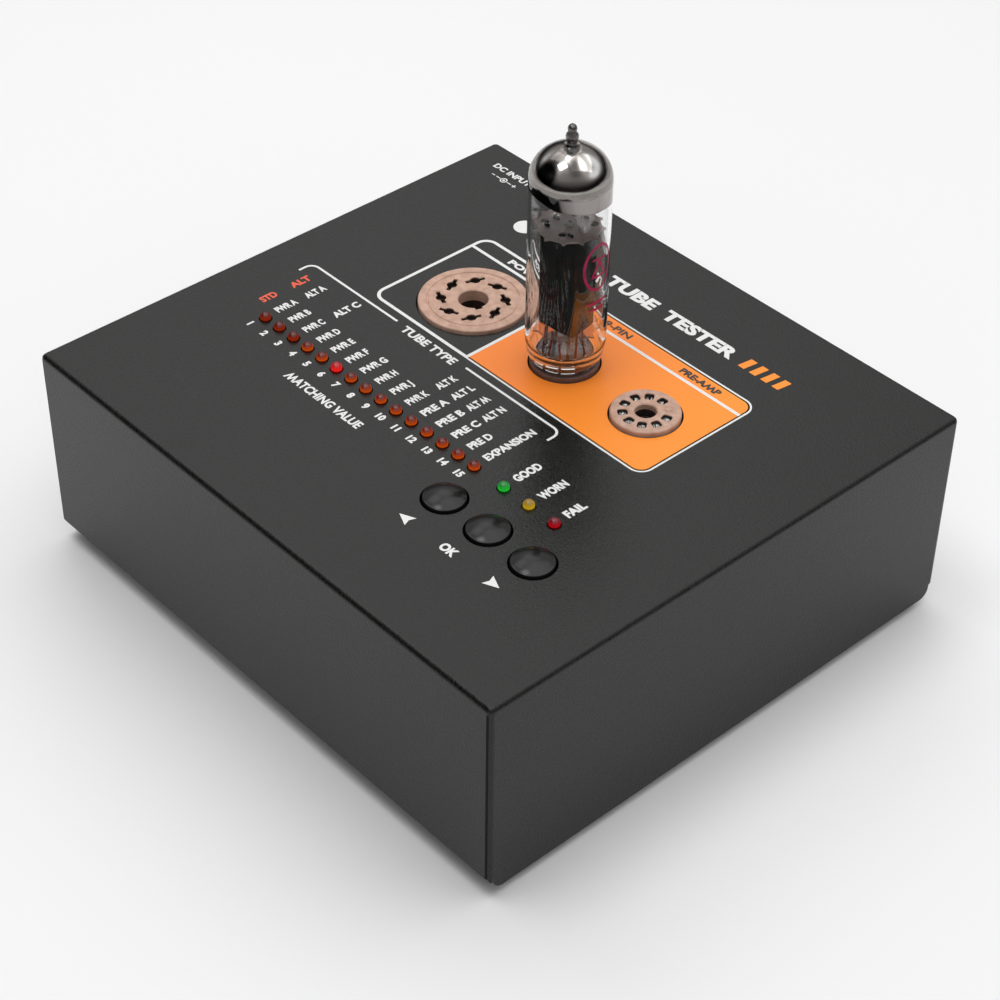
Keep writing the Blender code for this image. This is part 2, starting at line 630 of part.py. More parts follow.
# ---------------------------------------------------------------- build
def main():
    clear_scene()
    paint = material("black_powder_coat", (0.035, 0.035, 0.034), 0.45)
    tray_paint = material("tray_powder_coat", (0.035, 0.035, 0.034), 0.50)
    rubber = material("foot_rubber", (0.015, 0.015, 0.015), 0.85)
    zinc = material("zinc_screws", (0.55, 0.55, 0.54), 0.35, 1.0)
    steel = material("bracket_steel", (0.50, 0.50, 0.49), 0.40, 1.0)
    brass = material("standoff_brass", (0.60, 0.50, 0.30), 0.35, 1.0)
    fibre = material("board_laminate", (0.02, 0.13, 0.06), 0.45)
    ceramic = material("socket_ceramic", (0.58, 0.36, 0.27), 0.55)
    red = material("lamp_red", (0.45, 0.03, 0.01), 0.15, 0.0, 1.0, 0.3)
    bright_red = material("lamp_red_lit", (0.80, 0.03, 0.01), 0.15, 0.0, 1.0, 0.3)
    green = material("lamp_green", (0.02, 0.45, 0.05), 0.15, 0.0, 1.0, 0.3)
    amber = material("lamp_amber", (0.70, 0.45, 0.03), 0.15, 0.0, 1.0, 0.3)
    cap = material("button_cap", (0.02, 0.02, 0.02), 0.18)
    switch = material("switch_housing", (0.03, 0.03, 0.03), 0.50)
    jack = material("jack_plastic", (0.02, 0.02, 0.02), 0.45)
    core = material("ferrite_core", (0.06, 0.06, 0.06), 0.60)
    can = material("capacitor_sleeve", (0.03, 0.03, 0.05), 0.30)
    chip = material("chip_epoxy", (0.02, 0.02, 0.02), 0.50)
    glass = material("tube_glass", (0.95, 0.97, 0.97), 0.02, 0.0, 0.35, 1.0)
    pins = material("tube_pins", (0.60, 0.58, 0.55), 0.25, 1.0)
    anode = material("anode_black", (0.015, 0.016, 0.015), 0.30, 0.6)
    mica = material("mica", (0.62, 0.50, 0.46), 0.35)
    nickel = material("nickel_wire", (0.60, 0.58, 0.55), 0.25, 1.0)
    oxide = material("cathode_oxide", (0.75, 0.73, 0.70), 0.70)

    build_cover(paint)
    build_tray(tray_paint)
    build_feet(rubber, zinc)
    build_brackets(steel)
    build_board(fibre, brass, zinc)
    build_octal_socket(ceramic)
    build_noval_socket("noval_socket_power", POWER_C, ceramic)
    build_noval_socket("noval_socket_preamp", PREAMP_C, ceramic)
    build_lamps(red, bright_red, green, amber)
    build_buttons(cap, switch)
    build_jack(jack)
    build_underside_parts(core, can, chip)
    build_tube(glass, pins, anode, mica, nickel, oxide)


main()
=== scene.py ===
import math

import bmesh
import bpy
import numpy as np
from mathutils import Matrix, Vector


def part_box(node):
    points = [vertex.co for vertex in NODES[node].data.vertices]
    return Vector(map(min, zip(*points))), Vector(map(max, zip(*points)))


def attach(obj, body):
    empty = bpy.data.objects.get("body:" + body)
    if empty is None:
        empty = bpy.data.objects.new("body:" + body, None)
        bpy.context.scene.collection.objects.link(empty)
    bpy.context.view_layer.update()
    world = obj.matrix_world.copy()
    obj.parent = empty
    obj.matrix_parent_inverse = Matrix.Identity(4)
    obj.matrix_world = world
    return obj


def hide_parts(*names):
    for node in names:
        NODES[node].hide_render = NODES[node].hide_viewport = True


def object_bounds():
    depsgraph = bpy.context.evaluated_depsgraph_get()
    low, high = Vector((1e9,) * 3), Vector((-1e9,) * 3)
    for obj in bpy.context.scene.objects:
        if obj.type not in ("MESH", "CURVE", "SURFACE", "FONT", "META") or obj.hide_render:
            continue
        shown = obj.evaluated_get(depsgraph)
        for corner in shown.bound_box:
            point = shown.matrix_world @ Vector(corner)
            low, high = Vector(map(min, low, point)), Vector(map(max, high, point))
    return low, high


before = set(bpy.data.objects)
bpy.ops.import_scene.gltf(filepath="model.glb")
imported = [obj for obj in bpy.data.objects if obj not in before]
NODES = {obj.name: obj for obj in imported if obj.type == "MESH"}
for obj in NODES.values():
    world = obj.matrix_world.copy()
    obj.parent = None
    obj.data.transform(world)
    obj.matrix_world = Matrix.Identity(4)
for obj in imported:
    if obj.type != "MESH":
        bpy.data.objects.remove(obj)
CAD_BOX = [list(map(float, v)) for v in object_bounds()]
MM = 0.001

# ------------------------------------------------------------------ places, from the CAD
C_LO, C_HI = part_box("top_cover")
HX, HY = (C_HI.x - C_LO.x) / 2, (C_HI.y - C_LO.y) / 2
PANEL_Z = C_HI.z
CASE_Z0 = C_LO.z
FLOOR_Z = CAD_BOX[0][2]


def centre(node):
    lo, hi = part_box(node)
    return (lo + hi) / 2


OCTAL = centre("octal_socket")
POWER = centre("noval_socket_power")
PREAMP = centre("noval_socket_preamp")
BUTTONS = {n: centre("button_" + n) for n in ("left", "ok", "right")}
LAMPS = ["led_%02d" % i for i in range(1, 16)] + ["led_good", "led_worn", "led_fail"]
JACK = centre("dc_jack")
SHEET_T = 1.2 * MM


def panel(x_mm, y_mm):
    """Print layout coordinates in millimetres, to the shared frame."""
    return (1.0022 * (x_mm - 87.0) + 1.22) * MM, (0.993 * (y_mm - 79.4) - 0.885) * MM


# ------------------------------------------------------------------ material helpers
class Mat:
    def __init__(self, name):
        self.m = bpy.data.materials.new(name)
        self.m.use_nodes = True
        self.nt = self.m.node_tree
        self.b = self.nt.nodes["Principled BSDF"]
        self._co = None

    def set(self, **kw):
        for k, v in kw.items():
            key = k.replace("_", " ")
            s = self.b.inputs[key]
            s.default_value = (*v, 1.0) if s.type == "RGBA" else v
        return self

    def node(self, kind, **props):
        n = self.nt.nodes.new(kind)
        for k, v in props.items():
            setattr(n, k, v)
        return n

    def link(self, a, b):
        self.nt.links.new(a, b)

    def coords(self):
        if self._co is None:
            self._co = self.node("ShaderNodeTexCoord").outputs["Object"]
        return self._co

    def noise(self, scale, detail=2.0, rough=0.5, stretch=None, distortion=0.0):
        n = self.node("ShaderNodeTexNoise")
        n.inputs["Scale"].default_value = scale
        n.inputs["Detail"].default_value = detail
        n.inputs["Roughness"].default_value = rough
        n.inputs["Distortion"].default_value = distortion
        if stretch:
            mp = self.node("ShaderNodeMapping")
            mp.inputs["Scale"].default_value = stretch
            self.link(self.coords(), mp.inputs["Vector"])
            self.link(mp.outputs["Vector"], n.inputs["Vector"])
        else:
            self.link(self.coords(), n.inputs["Vector"])
        return n.outputs["Fac"]

    def voronoi(self, scale, feature="F1"):
        n = self.node("ShaderNodeTexVoronoi", feature=feature)
        n.inputs["Scale"].default_value = scale
        self.link(self.coords(), n.inputs["Vector"])
        return n.outputs["Distance"]

    def ramp(self, fac, stops):
        r = self.node("ShaderNodeValToRGB")
        els = r.color_ramp.elements
        while len(els) < len(stops):
            els.new(0.5)
        for e, (p, c) in zip(els, stops):
            e.position = p
            e.color = (*c, 1.0) if len(c) == 3 else c
        self.link(fac, r.inputs["Fac"])
        return r.outputs["Color"]

    def range(self, fac, a, b, lo=0.0, hi=1.0):
        r = self.node("ShaderNodeMapRange")
        r.inputs["From Min"].default_value = lo
        r.inputs["From Max"].default_value = hi
        r.inputs["To Min"].default_value = a
        r.inputs["To Max"].default_value = b
        self.link(fac, r.inputs["Value"])
        return r.outputs["Result"]

    def math(self, op, a, b=None, clamp=False):
        n = self.node("ShaderNodeMath", operation=op, use_clamp=clamp)
        for i, v in enumerate((a, b)):
            if v is None:
                continue
            if isinstance(v, (int, float)):
                n.inputs[i].default_value = v
            else:
                self.link(v, n.inputs[i])
        return n.outputs[0]

    def mix(self, fac, a, b):
        n = self.node("ShaderNodeMix", data_type="RGBA")
        for sock, v in ((n.inputs[0], fac), (n.inputs[6], a), (n.inputs[7], b)):
            if isinstance(v, (int, float)):
                sock.default_value = v
            elif isinstance(v, tuple):
                sock.default_value = (*v, 1.0)
            else:
                self.link(v, sock)
        return n.outputs[2]

    def color(self, out):
        self.link(out, self.b.inputs["Base Color"])
        return self

    def rough(self, out):
        self.link(out, self.b.inputs["Roughness"])
        return self

    def bump(self, height, strength=0.3, distance=0.0001, chain=None):
        n = self.node("ShaderNodeBump")
        n.inputs["Strength"].default_value = strength
        n.inputs["Distance"].default_value = distance
        self.link(height, n.inputs["Height"])
        if chain is not None:
            self.link(chain, n.inputs["Normal"])
        self.link(n.outputs["Normal"], self.b.inputs["Normal"])
        return n.outputs["Normal"]


def powder_coat(name, base, rough, grain=0.30, extra=None):
    m = Mat(name)
    fine = m.noise(2600, 3.0, 0.6)
    broad = m.noise(35, 3.0, 0.5)
    lo = tuple(c * 0.35 for c in base)
    hi = tuple(c * 1.95 for c in base)
    col = m.ramp(fine, [(0.30, lo), (0.70, hi)])
    col = m.mix(m.range(broad, 0.0, 0.25, 0.35, 0.7), col, tuple(c * 1.15 for c in base))
    m.color(col)
    m.rough(m.math("ADD", m.range(fine, rough - 0.12, rough + 0.12, 0.3, 0.7), m.range(broad, -0.02, 0.02)))
    first = m.bump(m.voronoi(1500), grain * 0.8, 0.00009)
    m.bump(m.noise(2400, 2.0, 0.5), grain, 0.00008, first)
    return m


MATS = {}


def build_materials():
    M = MATS
    M["paint"] = powder_coat("panel_powder_coat", (0.0066, 0.0072, 0.0062), 0.29, 0.52)
    M["paint"].set(Specular_IOR_Level=0.305)
    M["tray"] = powder_coat("tray_powder_coat", (0.0064, 0.0070, 0.0060), 0.33, 0.36)
    M["tray"].set(Specular_IOR_Level=0.31)

    m = M["orange"] = Mat("print_orange")
    fine = m.noise(2600, 3.0, 0.6)
    broad = m.noise(60, 2.0, 0.5)
    c = m.ramp(fine, [(0.30, (0.92, 0.222, 0.020)), (0.70, (0.98, 0.258, 0.032))])
    # painted reflection: the orange is warmed towards +X, standing in for reddish light reflected on the print
    across = m.node("ShaderNodeSeparateXYZ")
    m.link(m.coords(), across.inputs[0])
    orange_painted_reflection = m.ramp(fine, [(0.30, (0.93, 0.285, 0.016)), (0.70, (0.99, 0.330, 0.026))])
    c = m.mix(m.range(across.outputs["X"], 0.0, 1.0, 0.002, 0.056), c, orange_painted_reflection)
    m.color(m.mix(m.range(broad, 0.0, 0.25, 0.3, 0.7), c, (0.96, 0.235, 0.024)))
    m.rough(m.range(fine, 0.36, 0.46))
    m.set(Specular_IOR_Level=0.38)
    m.bump(m.noise(2400, 2.0, 0.5), 0.18, 0.00004)

    m = M["white_ink"] = Mat("print_white")
    fine = m.noise(3000, 2.0, 0.6)
    m.color(m.ramp(fine, [(0.25, (0.70, 0.70, 0.69)), (0.75, (0.84, 0.84, 0.83))]))
    m.rough(m.range(fine, 0.38, 0.50))
    m.bump(fine, 0.15, 0.00003)

    m = M["black_ink"] = Mat("print_black")
    fine = m.noise(3000, 2.0, 0.6)
    m.color(m.ramp(fine, [(0.25, (0.018, 0.014, 0.012)), (0.75, (0.035, 0.028, 0.022))]))
    m.rough(m.range(fine, 0.35, 0.50))
    m.bump(fine, 0.15, 0.00003)

    m = M["red_ink"] = Mat("print_red_orange")
    fine = m.noise(3000, 2.0, 0.6)
    m.color(m.ramp(fine, [(0.25, (0.72, 0.090, 0.035)), (0.75, (0.82, 0.120, 0.050))]))
    m.rough(m.range(fine, 0.38, 0.50))
    m.bump(fine, 0.15, 0.00003)

    m = M["ceramic"] = Mat("socket_ceramic")
    blot = m.noise(420, 4.0, 0.6)
    speck = m.noise(2600, 2.0, 0.6)
    c = m.ramp(blot, [(0.28, (0.420, 0.250, 0.182)), (0.52, (0.540, 0.335, 0.250)), (0.75, (0.640, 0.420, 0.325))])
    c = m.mix(m.range(speck, 0.0, 0.32, 0.52, 0.75), c, (0.44, 0.26, 0.19))
    m.color(c)
    m.rough(m.range(speck, 0.46, 0.62))
    m.set(Subsurface_Weight=0.06, Subsurface_Radius=(0.8, 0.5, 0.35), Subsurface_Scale=0.0006)
    m.bump(m.noise(1500, 3.0, 0.6), 0.25, 0.00005)

    # painted shade: a darker copy of the socket ceramic for the power socket, standing in for the shade under the tube
    m = M["ceramic_painted_shade"] = Mat("socket_ceramic_painted_shade")
    blot = m.noise(420, 4.0, 0.6)
    speck = m.noise(2600, 2.0, 0.6)
    c = m.ramp(blot, [(0.28, (0.115, 0.062, 0.048)), (0.52, (0.150, 0.084, 0.066)), (0.75, (0.190, 0.110, 0.088))])
    m.color(m.mix(m.range(speck, 0.0, 0.32, 0.52, 0.75), c, (0.10, 0.056, 0.042)))
    m.rough(m.range(speck, 0.46, 0.62))
    m.bump(m.noise(1500, 3.0, 0.6), 0.25, 0.00005)

    # painted shade: the dark colour of the sleeves and floors put down in the socket holes
    m = M["hole_painted_shade"] = Mat("socket_hole_shade")
    n = m.noise(900, 2.0)
    m.color(m.ramp(n, [(0.3, (0.014, 0.008, 0.006)), (0.7, (0.030, 0.018, 0.013))]))
    m.rough(m.range(n, 0.6, 0.8))

    # painted highlight: lighter colour for the strip along the flanges' lower edge
    m = M["edge_painted_highlight"] = Mat("powder_coat_painted_edge_highlight")
    n = m.noise(900, 3.0, 0.6)
    m.color(m.ramp(n, [(0.3, (0.014, 0.015, 0.013)), (0.7, (0.034, 0.036, 0.032))]))
    m.rough(m.range(n, 0.34, 0.50))

    m = M["seam"] = Mat("corner_joint_shade")
    n = m.noise(1500, 2.0)
    m.color(m.ramp(n, [(0.3, (0.0030, 0.0032, 0.0030)), (0.7, (0.0070, 0.0072, 0.0068))]))
    m.rough(m.range(n, 0.5, 0.7))
    m.set(Specular_IOR_Level=0.12)

    m = M["silver"] = Mat("contact_silver")
    n = m.noise(1800, 3.0, 0.6)
    m.color(m.ramp(n, [(0.3, (0.82, 0.81, 0.79)), (0.7, (0.94, 0.93, 0.91))]))
    m.rough(m.range(n, 0.16, 0.34))
    m.set(Metallic=1.0)
    m.bump(n, 0.1, 0.00002)

    m = M["contact_dull"] = Mat("contact_copper_alloy")
    n = m.noise(1800, 3.0, 0.6)
    m.color(m.ramp(n, [(0.3, (0.13, 0.085, 0.065)), (0.7, (0.26, 0.18, 0.145))]))
    m.rough(m.range(n, 0.30, 0.50))
    m.set(Metallic=1.0)

    m = M["cap"] = Mat("button_gloss")
    n = m.noise(240, 3.0, 0.5)
    f = m.noise(3200, 2.0, 0.5)
    m.color(m.ramp(n, [(0.3, (0.0060, 0.0060, 0.0058)), (0.7, (0.0095, 0.0095, 0.0090))]))
    m.rough(m.math("ADD", m.range(n, 0.18, 0.25), m.range(f, -0.02, 0.03)))
    m.bump(f, 0.04, 0.00002)
    m.set(Specular_IOR_Level=0.34)
    # lens colour with light painted in: darker at the foot (painted shade where the lens meets the panel), lighter low
    # down than at the crown, and an emitted glow low in the lens that paints light focused through it; only lamp_lit
    # stands for a lit lamp
    def lamp(key, deep, mid, painted_glow, strength, lens_rough=0.07):
        m = MATS[key] = Mat(key)
        grad = m.node("ShaderNodeSeparateXYZ")
        m.link(m.coords(), grad.inputs[0])
        h = m.range(grad.outputs["Z"], 0.0, 1.0, PANEL_Z - 0.1 * MM, PANEL_Z + 1.9 * MM)
        n = m.noise(1500, 2.0, 0.5)
        h = m.math("ADD", h, m.range(n, -0.05, 0.05))
        m.color(m.ramp(h, [(0.0, tuple(g * 0.35 for g in mid)), (0.10, tuple(g * 0.35 for g in mid)), (0.22, mid),
                           (0.48, mid), (1.0, deep)]))
        m.link(m.ramp(h, [(0.06, (0.0, 0.0, 0.0)), (0.24, painted_glow), (0.48, tuple(g * 0.62 for g in painted_glow)),
                          (0.86, (0.0, 0.0, 0.0))]), m.b.inputs["Emission Color"])
        m.set(Emission_Strength=strength, IOR=1.50, Coat_Weight=0.1, Coat_Roughness=0.12)
        m.rough(m.range(n, lens_rough + 0.16, lens_rough + 0.24))
        return m

    lamp("lamp_red", (0.070, 0.003, 0.003), (0.24, 0.010, 0.002), (1.0, 0.09, 0.004), 0.16)
    lamp("lamp_orange", (0.090, 0.004, 0.003), (0.34, 0.020, 0.002), (1.0, 0.15, 0.006), 0.36)
    lamp("lamp_lit", (0.40, 0.006, 0.012), (0.80, 0.010, 0.010), (1.0, 0.02, 0.016), 0.60)
    lamp("lamp_green", (0.008, 0.20, 0.03), (0.006, 0.42, 0.03), (0.04, 1.0, 0.07), 0.34)
    lamp("lamp_amber", (0.30, 0.17, 0.02), (0.55, 0.33, 0.010), (1.0, 0.62, 0.020), 0.34)
    lamp("lamp_fail", (0.130, 0.003, 0.014), (0.38, 0.003, 0.008), (1.0, 0.006, 0.020), 0.30)

    m = M["glass"] = Mat("tube_glass_clear")
    m.set(Base_Color=(0.985, 0.992, 0.992), Transmission_Weight=1.0, IOR=1.50, Roughness=0.0)
    n = m.noise(90, 2.0, 0.5)
    m.bump(n, 0.06, 0.0003)

    # getter mirror, with painted reflection in its colour: light and dark bands over the dome, and a flank dark towards
    # the front left and pale towards the right
    m = M["mirror"] = Mat("getter_mirror")
    n = m.noise(160, 3.0, 0.5)
    edge = m.node("ShaderNodeAttribute", attribute_name="edge")
    flank_painted_reflection = m.node("ShaderNodeAttribute", attribute_name="flank_painted_reflection")
    dome_painted_reflection = m.node("ShaderNodeAttribute", attribute_name="dome_painted_reflection")
    wavy = m.math("ADD", dome_painted_reflection.outputs["Fac"], m.range(n, -0.10, 0.10))
    base = m.ramp(wavy, [(0.0, (0.022, 0.018, 0.016)), (0.28, (0.100, 0.085, 0.076)), (0.52, (0.240, 0.215, 0.198)),
                         (0.78, (0.50, 0.47, 0.44)), (1.0, (0.95, 0.94, 0.92))])
    flank = m.ramp(flank_painted_reflection.outputs["Fac"], [(0.0, (0.020, 0.018, 0.017)), (0.42, (0.035, 0.030, 0.028)),
                                         (0.55, (0.56, 0.50, 0.48)), (1.0, (0.78, 0.72, 0.71))])
    rim = m.ramp(n, [(0.3, (0.26, 0.16, 0.12)), (0.7, (0.36, 0.23, 0.18))])
    side = m.range(edge.outputs["Fac"], 0.0, 1.0, 0.02, 0.20)
    c = m.mix(side, base, flank)
    m.color(m.mix(m.range(edge.outputs["Fac"], 0.0, 0.8, 0.90, 1.0), c, rim))
    m.rough(m.math("ADD", m.range(n, 0.03, 0.09), m.math("MULTIPLY", side, m.range(flank_painted_reflection.outputs["Fac"], 0.0, 0.35, 0.5, 0.9))))
    pale = m.math("MULTIPLY", side, m.range(flank_painted_reflection.outputs["Fac"], 0.0, 0.80, 0.42, 0.62))
    m.link(m.math("SUBTRACT", 1.0, pale), m.b.inputs["Metallic"])
    m.bump(m.noise(130, 2.0, 0.5), 0.22, 0.0005)

    # dark core inside the sealing tip, which makes the tip look dark
    m = M["tip_dark_core"] = Mat("sealing_tip_dark_core")
    n = m.noise(420, 3.0, 0.5)
    m.color(m.ramp(n, [(0.3, (0.050, 0.042, 0.038)), (0.7, (0.210, 0.195, 0.185))]))
    m.rough(m.range(n, 0.12, 0.24))
    m.set(Metallic=0.85)
    m.bump(n, 0.3, 0.0003)

    m = M["anode"] = Mat("anode_carbonised")
    n = m.noise(500, 4.0, 0.6)
    streak = m.noise(900, 3.0, 0.6, (1.0, 1.0, 0.04))
    m.color(m.ramp(n, [(0.3, (0.0030, 0.0032, 0.0030)), (0.7, (0.0065, 0.0068, 0.0065))]))
    m.rough(m.math("ADD", m.range(streak, 0.12, 0.34), m.range(n, -0.03, 0.04)))
    m.set(Specular_IOR_Level=0.46)
    m.bump(streak, 0.20, 0.0001)

    m = M["mica"] = Mat("mica_sheet")
    n = m.noise(260, 4.0, 0.6)
    f = m.noise(1500, 3.0, 0.6)
    m.color(m.ramp(n, [(0.28, (0.50, 0.36, 0.32)), (0.55, (0.70, 0.57, 0.53)), (0.8, (0.82, 0.74, 0.70))]))
    m.rough(m.range(f, 0.22, 0.42))
    m.set(Transmission_Weight=0.45, IOR=1.56)
    m.bump(f, 0.12, 0.00004)

    m = M["mica_clear"] = Mat("mica_sheet_clear")
    n = m.noise(260, 4.0, 0.6)
    f = m.noise(1500, 3.0, 0.6)
    m.color(m.ramp(n, [(0.28, (0.86, 0.62, 0.52)), (0.8, (0.97, 0.84, 0.77))]))
    m.rough(m.range(f, 0.04, 0.16))
    m.set(Transmission_Weight=0.88, IOR=1.45)
    m.bump(f, 0.08, 0.00004)

    m = M["nickel"] = Mat("nickel_wire")
    n = m.noise(900, 3.0, 0.6)
    m.color(m.ramp(n, [(0.3, (0.50, 0.48, 0.45)), (0.7, (0.68, 0.66, 0.62))]))
    m.rough(m.range(n, 0.18, 0.34))
    m.set(Metallic=1.0)

    m = M["dumet"] = Mat("seal_wire_copper")
    n = m.noise(900, 3.0, 0.6)
    m.color(m.ramp(n, [(0.3, (0.13, 0.012, 0.018)), (0.7, (0.26, 0.026, 0.032))]))
    m.rough(m.range(n, 0.22, 0.38))
    m.set(Metallic=0.6)

    m = M["oxide"] = Mat("cathode_oxide")
    n = m.noise(1200, 3.0, 0.6)
    m.color(m.ramp(n, [(0.3, (0.66, 0.64, 0.60)), (0.7, (0.80, 0.78, 0.75))]))
    m.rough(m.range(n, 0.6, 0.8))

    m = M["magenta"] = Mat("tube_print_magenta")
    n = m.noise(1500, 3.0, 0.7)
    m.color(m.ramp(n, [(0.3, (0.40, 0.003, 0.070)), (0.7, (0.58, 0.008, 0.115))]))
    m.rough(m.range(n, 0.30, 0.46))
    m.bump(n, 0.1, 0.00002)

    m = M["rubber"] = Mat("foot_rubber")
    n = m.noise(1200, 4.0, 0.6)
    m.color(m.ramp(n, [(0.3, (0.012, 0.012, 0.012)), (0.7, (0.024, 0.024, 0.023))]))
    m.rough(m.range(n, 0.70, 0.88))
    m.bump(n, 0.3, 0.00008)

    m = M["zinc"] = Mat("zinc_plate")
    n = m.noise(700, 4.0, 0.6)
    m.color(m.ramp(n, [(0.3, (0.46, 0.46, 0.45)), (0.7, (0.64, 0.64, 0.62))]))
    m.rough(m.range(n, 0.24, 0.42))
    m.set(Metallic=1.0)
    m.bump(n, 0.08, 0.00003)

    m = M["strip_steel"] = Mat("bracket_strip_steel")
    n = m.noise(260, 4.0, 0.6, (1.0, 0.06, 1.0))
    m.color(m.ramp(n, [(0.3, (0.42, 0.42, 0.41)), (0.7, (0.60, 0.60, 0.58))]))
    m.rough(m.range(n, 0.30, 0.50))
    m.set(Metallic=1.0)
    m.bump(n, 0.1, 0.00003)

    m = M["brass"] = Mat("standoff_brass")
    n = m.noise(600, 4.0, 0.6)
    m.color(m.ramp(n, [(0.3, (0.52, 0.38, 0.16)), (0.7, (0.68, 0.52, 0.26))]))
    m.rough(m.range(n, 0.24, 0.40))
    m.set(Metallic=1.0)

    m = M["board"] = Mat("solder_mask_green")
    mp = m.node("ShaderNodeMapping")
    mp.inputs["Scale"].default_value = (160.0, 160.0, 160.0)
    m.link(m.coords(), mp.inputs["Vector"])
    brick = m.node("ShaderNodeTexBrick")
    brick.inputs["Scale"].default_value = 1.0
    brick.inputs["Mortar Size"].default_value = 0.06
    brick.inputs["Color1"].default_value = (0.012, 0.095, 0.040, 1)
    brick.inputs["Color2"].default_value = (0.010, 0.080, 0.034, 1)
    brick.inputs["Mortar"].default_value = (0.030, 0.170, 0.075, 1)
    m.link(mp.outputs["Vector"], brick.inputs["Vector"])
    n = m.noise(900, 3.0, 0.6)
    m.color(m.mix(m.range(n, 0.0, 0.3), brick.outputs["Color"], (0.008, 0.070, 0.030)))
    m.rough(m.range(n, 0.25, 0.42))
    m.bump(n, 0.1, 0.00004)

    m = M["black_plastic"] = Mat("moulded_black_plastic")
    n = m.noise(1400, 3.0, 0.6)
    m.color(m.ramp(n, [(0.3, (0.016, 0.016, 0.016)), (0.7, (0.030, 0.030, 0.029))]))
    m.rough(m.range(n, 0.38, 0.56))
    m.bump(n, 0.2, 0.00005)

    m = M["ferrite"] = Mat("ferrite_and_tape")
    n = m.noise(500, 4.0, 0.6)
    z = m.noise(60, 1.0, 0.5, (1.0, 1.0, 12.0))
    m.color(m.mix(m.range(z, 0.0, 1.0, 0.45, 0.6), m.ramp(n, [(0.3, (0.035, 0.035, 0.036)), (0.7, (0.065, 0.065, 0.066))]),
                  (0.30, 0.20, 0.03)))
    m.rough(m.range(n, 0.45, 0.65))
    m.bump(n, 0.2, 0.00008)

    m = M["sleeve"] = Mat("capacitor_shrink_sleeve")
    n = m.noise(300, 3.0, 0.6)
    m.color(m.ramp(n, [(0.3, (0.020, 0.022, 0.050)), (0.7, (0.032, 0.034, 0.070))]))
    m.rough(m.range(n, 0.22, 0.36))
    m.bump(n, 0.08, 0.00006)

    m = M["epoxy"] = Mat("chip_epoxy_black")
    n = m.noise(2200, 3.0, 0.6)
    m.color(m.ramp(n, [(0.3, (0.016, 0.016, 0.017)), (0.7, (0.028, 0.028, 0.029))]))
    m.rough(m.range(n, 0.50, 0.66))
    m.bump(n, 0.2, 0.00003)

    m = M["floor"] = Mat("studio_floor")
    n = m.noise(3.0, 3.0, 0.5)
    m.color(m.ramp(n, [(0.3, (0.872, 0.872, 0.872)), (0.7, (0.882, 0.882, 0.882))]))
    m.rough(m.range(n, 0.55, 0.62))
    m.set(Specular_IOR_Level=0.25)


# ------------------------------------------------------------------ mesh helpers
def finish_mesh(name, bm, mat, body="case", angle=35, doubles=1e-7):
    if doubles:
        bmesh.ops.remove_doubles(bm, verts=bm.verts, dist=doubles)
    bmesh.ops.recalc_face_normals(bm, faces=bm.faces)
    me = bpy.data.meshes.new(name)
    bm.to_mesh(me)
    bm.free()
    return make_object(name, me, mat, body, angle)


def make_object(name, me, mat, body="case", angle=35, weighted=False):
    me.materials.clear()
    if mat is not None:
        me.materials.append(MATS[mat].m)
    me.shade_smooth()
    me.set_sharp_from_angle(angle=math.radians(angle))
    ob = bpy.data.objects.new(name, me)
    bpy.context.scene.collection.objects.link(ob)
    if weighted:
        mod = ob.modifiers.new("w", "WEIGHTED_NORMAL")
        mod.keep_sharp = True
        mod.weight = 100
        bpy.context.view_layer.update()
        shaded = bpy.data.meshes.new_from_object(ob.evaluated_get(bpy.context.evaluated_depsgraph_get()))
        ob.modifiers.clear()
        ob.data = shaded
        bpy.data.meshes.remove(me)
        shaded.name = name
    if body:
        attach(ob, body)
    return ob


def temp(bm):
    bmesh.ops.remove_doubles(bm, verts=bm.verts, dist=1e-7)
    bmesh.ops.recalc_face_normals(bm, faces=bm.faces)
    me = bpy.data.meshes.new("tmp")
    bm.to_mesh(me)
    bm.free()
    ob = bpy.data.objects.new("tmp", me)
    bpy.context.scene.collection.objects.link(ob)
    return ob


def boolean_mesh(base_bm, steps, bevel=None):
    """Applies (operation, bmesh) steps to a base, and returns the finished mesh."""
    base = temp(base_bm)
    tools = []
    for op, bm in steps:
        t = temp(bm)
        tools.append(t)
        mod = base.modifiers.new("b", "BOOLEAN")
        mod.operation = op
        mod.solver = "EXACT"
        mod.object = t
    if bevel:
        mod = base.modifiers.new("e", "BEVEL")
        mod.width = bevel[0]
        mod.segments = bevel[1]
        mod.limit_method = "ANGLE"
        mod.angle_limit = math.radians(bevel[2])
        mod.use_clamp_overlap = True
    bpy.context.view_layer.update()
    deps = bpy.context.evaluated_depsgraph_get()
    me = bpy.data.meshes.new_from_object(base.evaluated_get(deps))
    for t in [base] + tools:
        bpy.data.objects.remove(t, do_unlink=True)
    return me


def box(bm, lo, hi, rot=0.0, about=(0.0, 0.0)):
    vs = []
    for z in (lo[2], hi[2]):
        for x, y in ((lo[0], lo[1]), (hi[0], lo[1]), (hi[0], hi[1]), (lo[0], hi[1])):
            if rot:
                dx, dy = x - about[0], y - about[1]
                x = about[0] + dx * math.cos(rot) - dy * math.sin(rot)
                y = about[1] + dx * math.sin(rot) + dy * math.cos(rot)
            vs.append(bm.verts.new((x, y, z)))
    for f in ((3, 2, 1, 0), (4, 5, 6, 7), (0, 1, 5, 4), (1, 2, 6, 5), (2, 3, 7, 6), (3, 0, 4, 7)):
        bm.faces.new([vs[i] for i in f])
    return vs


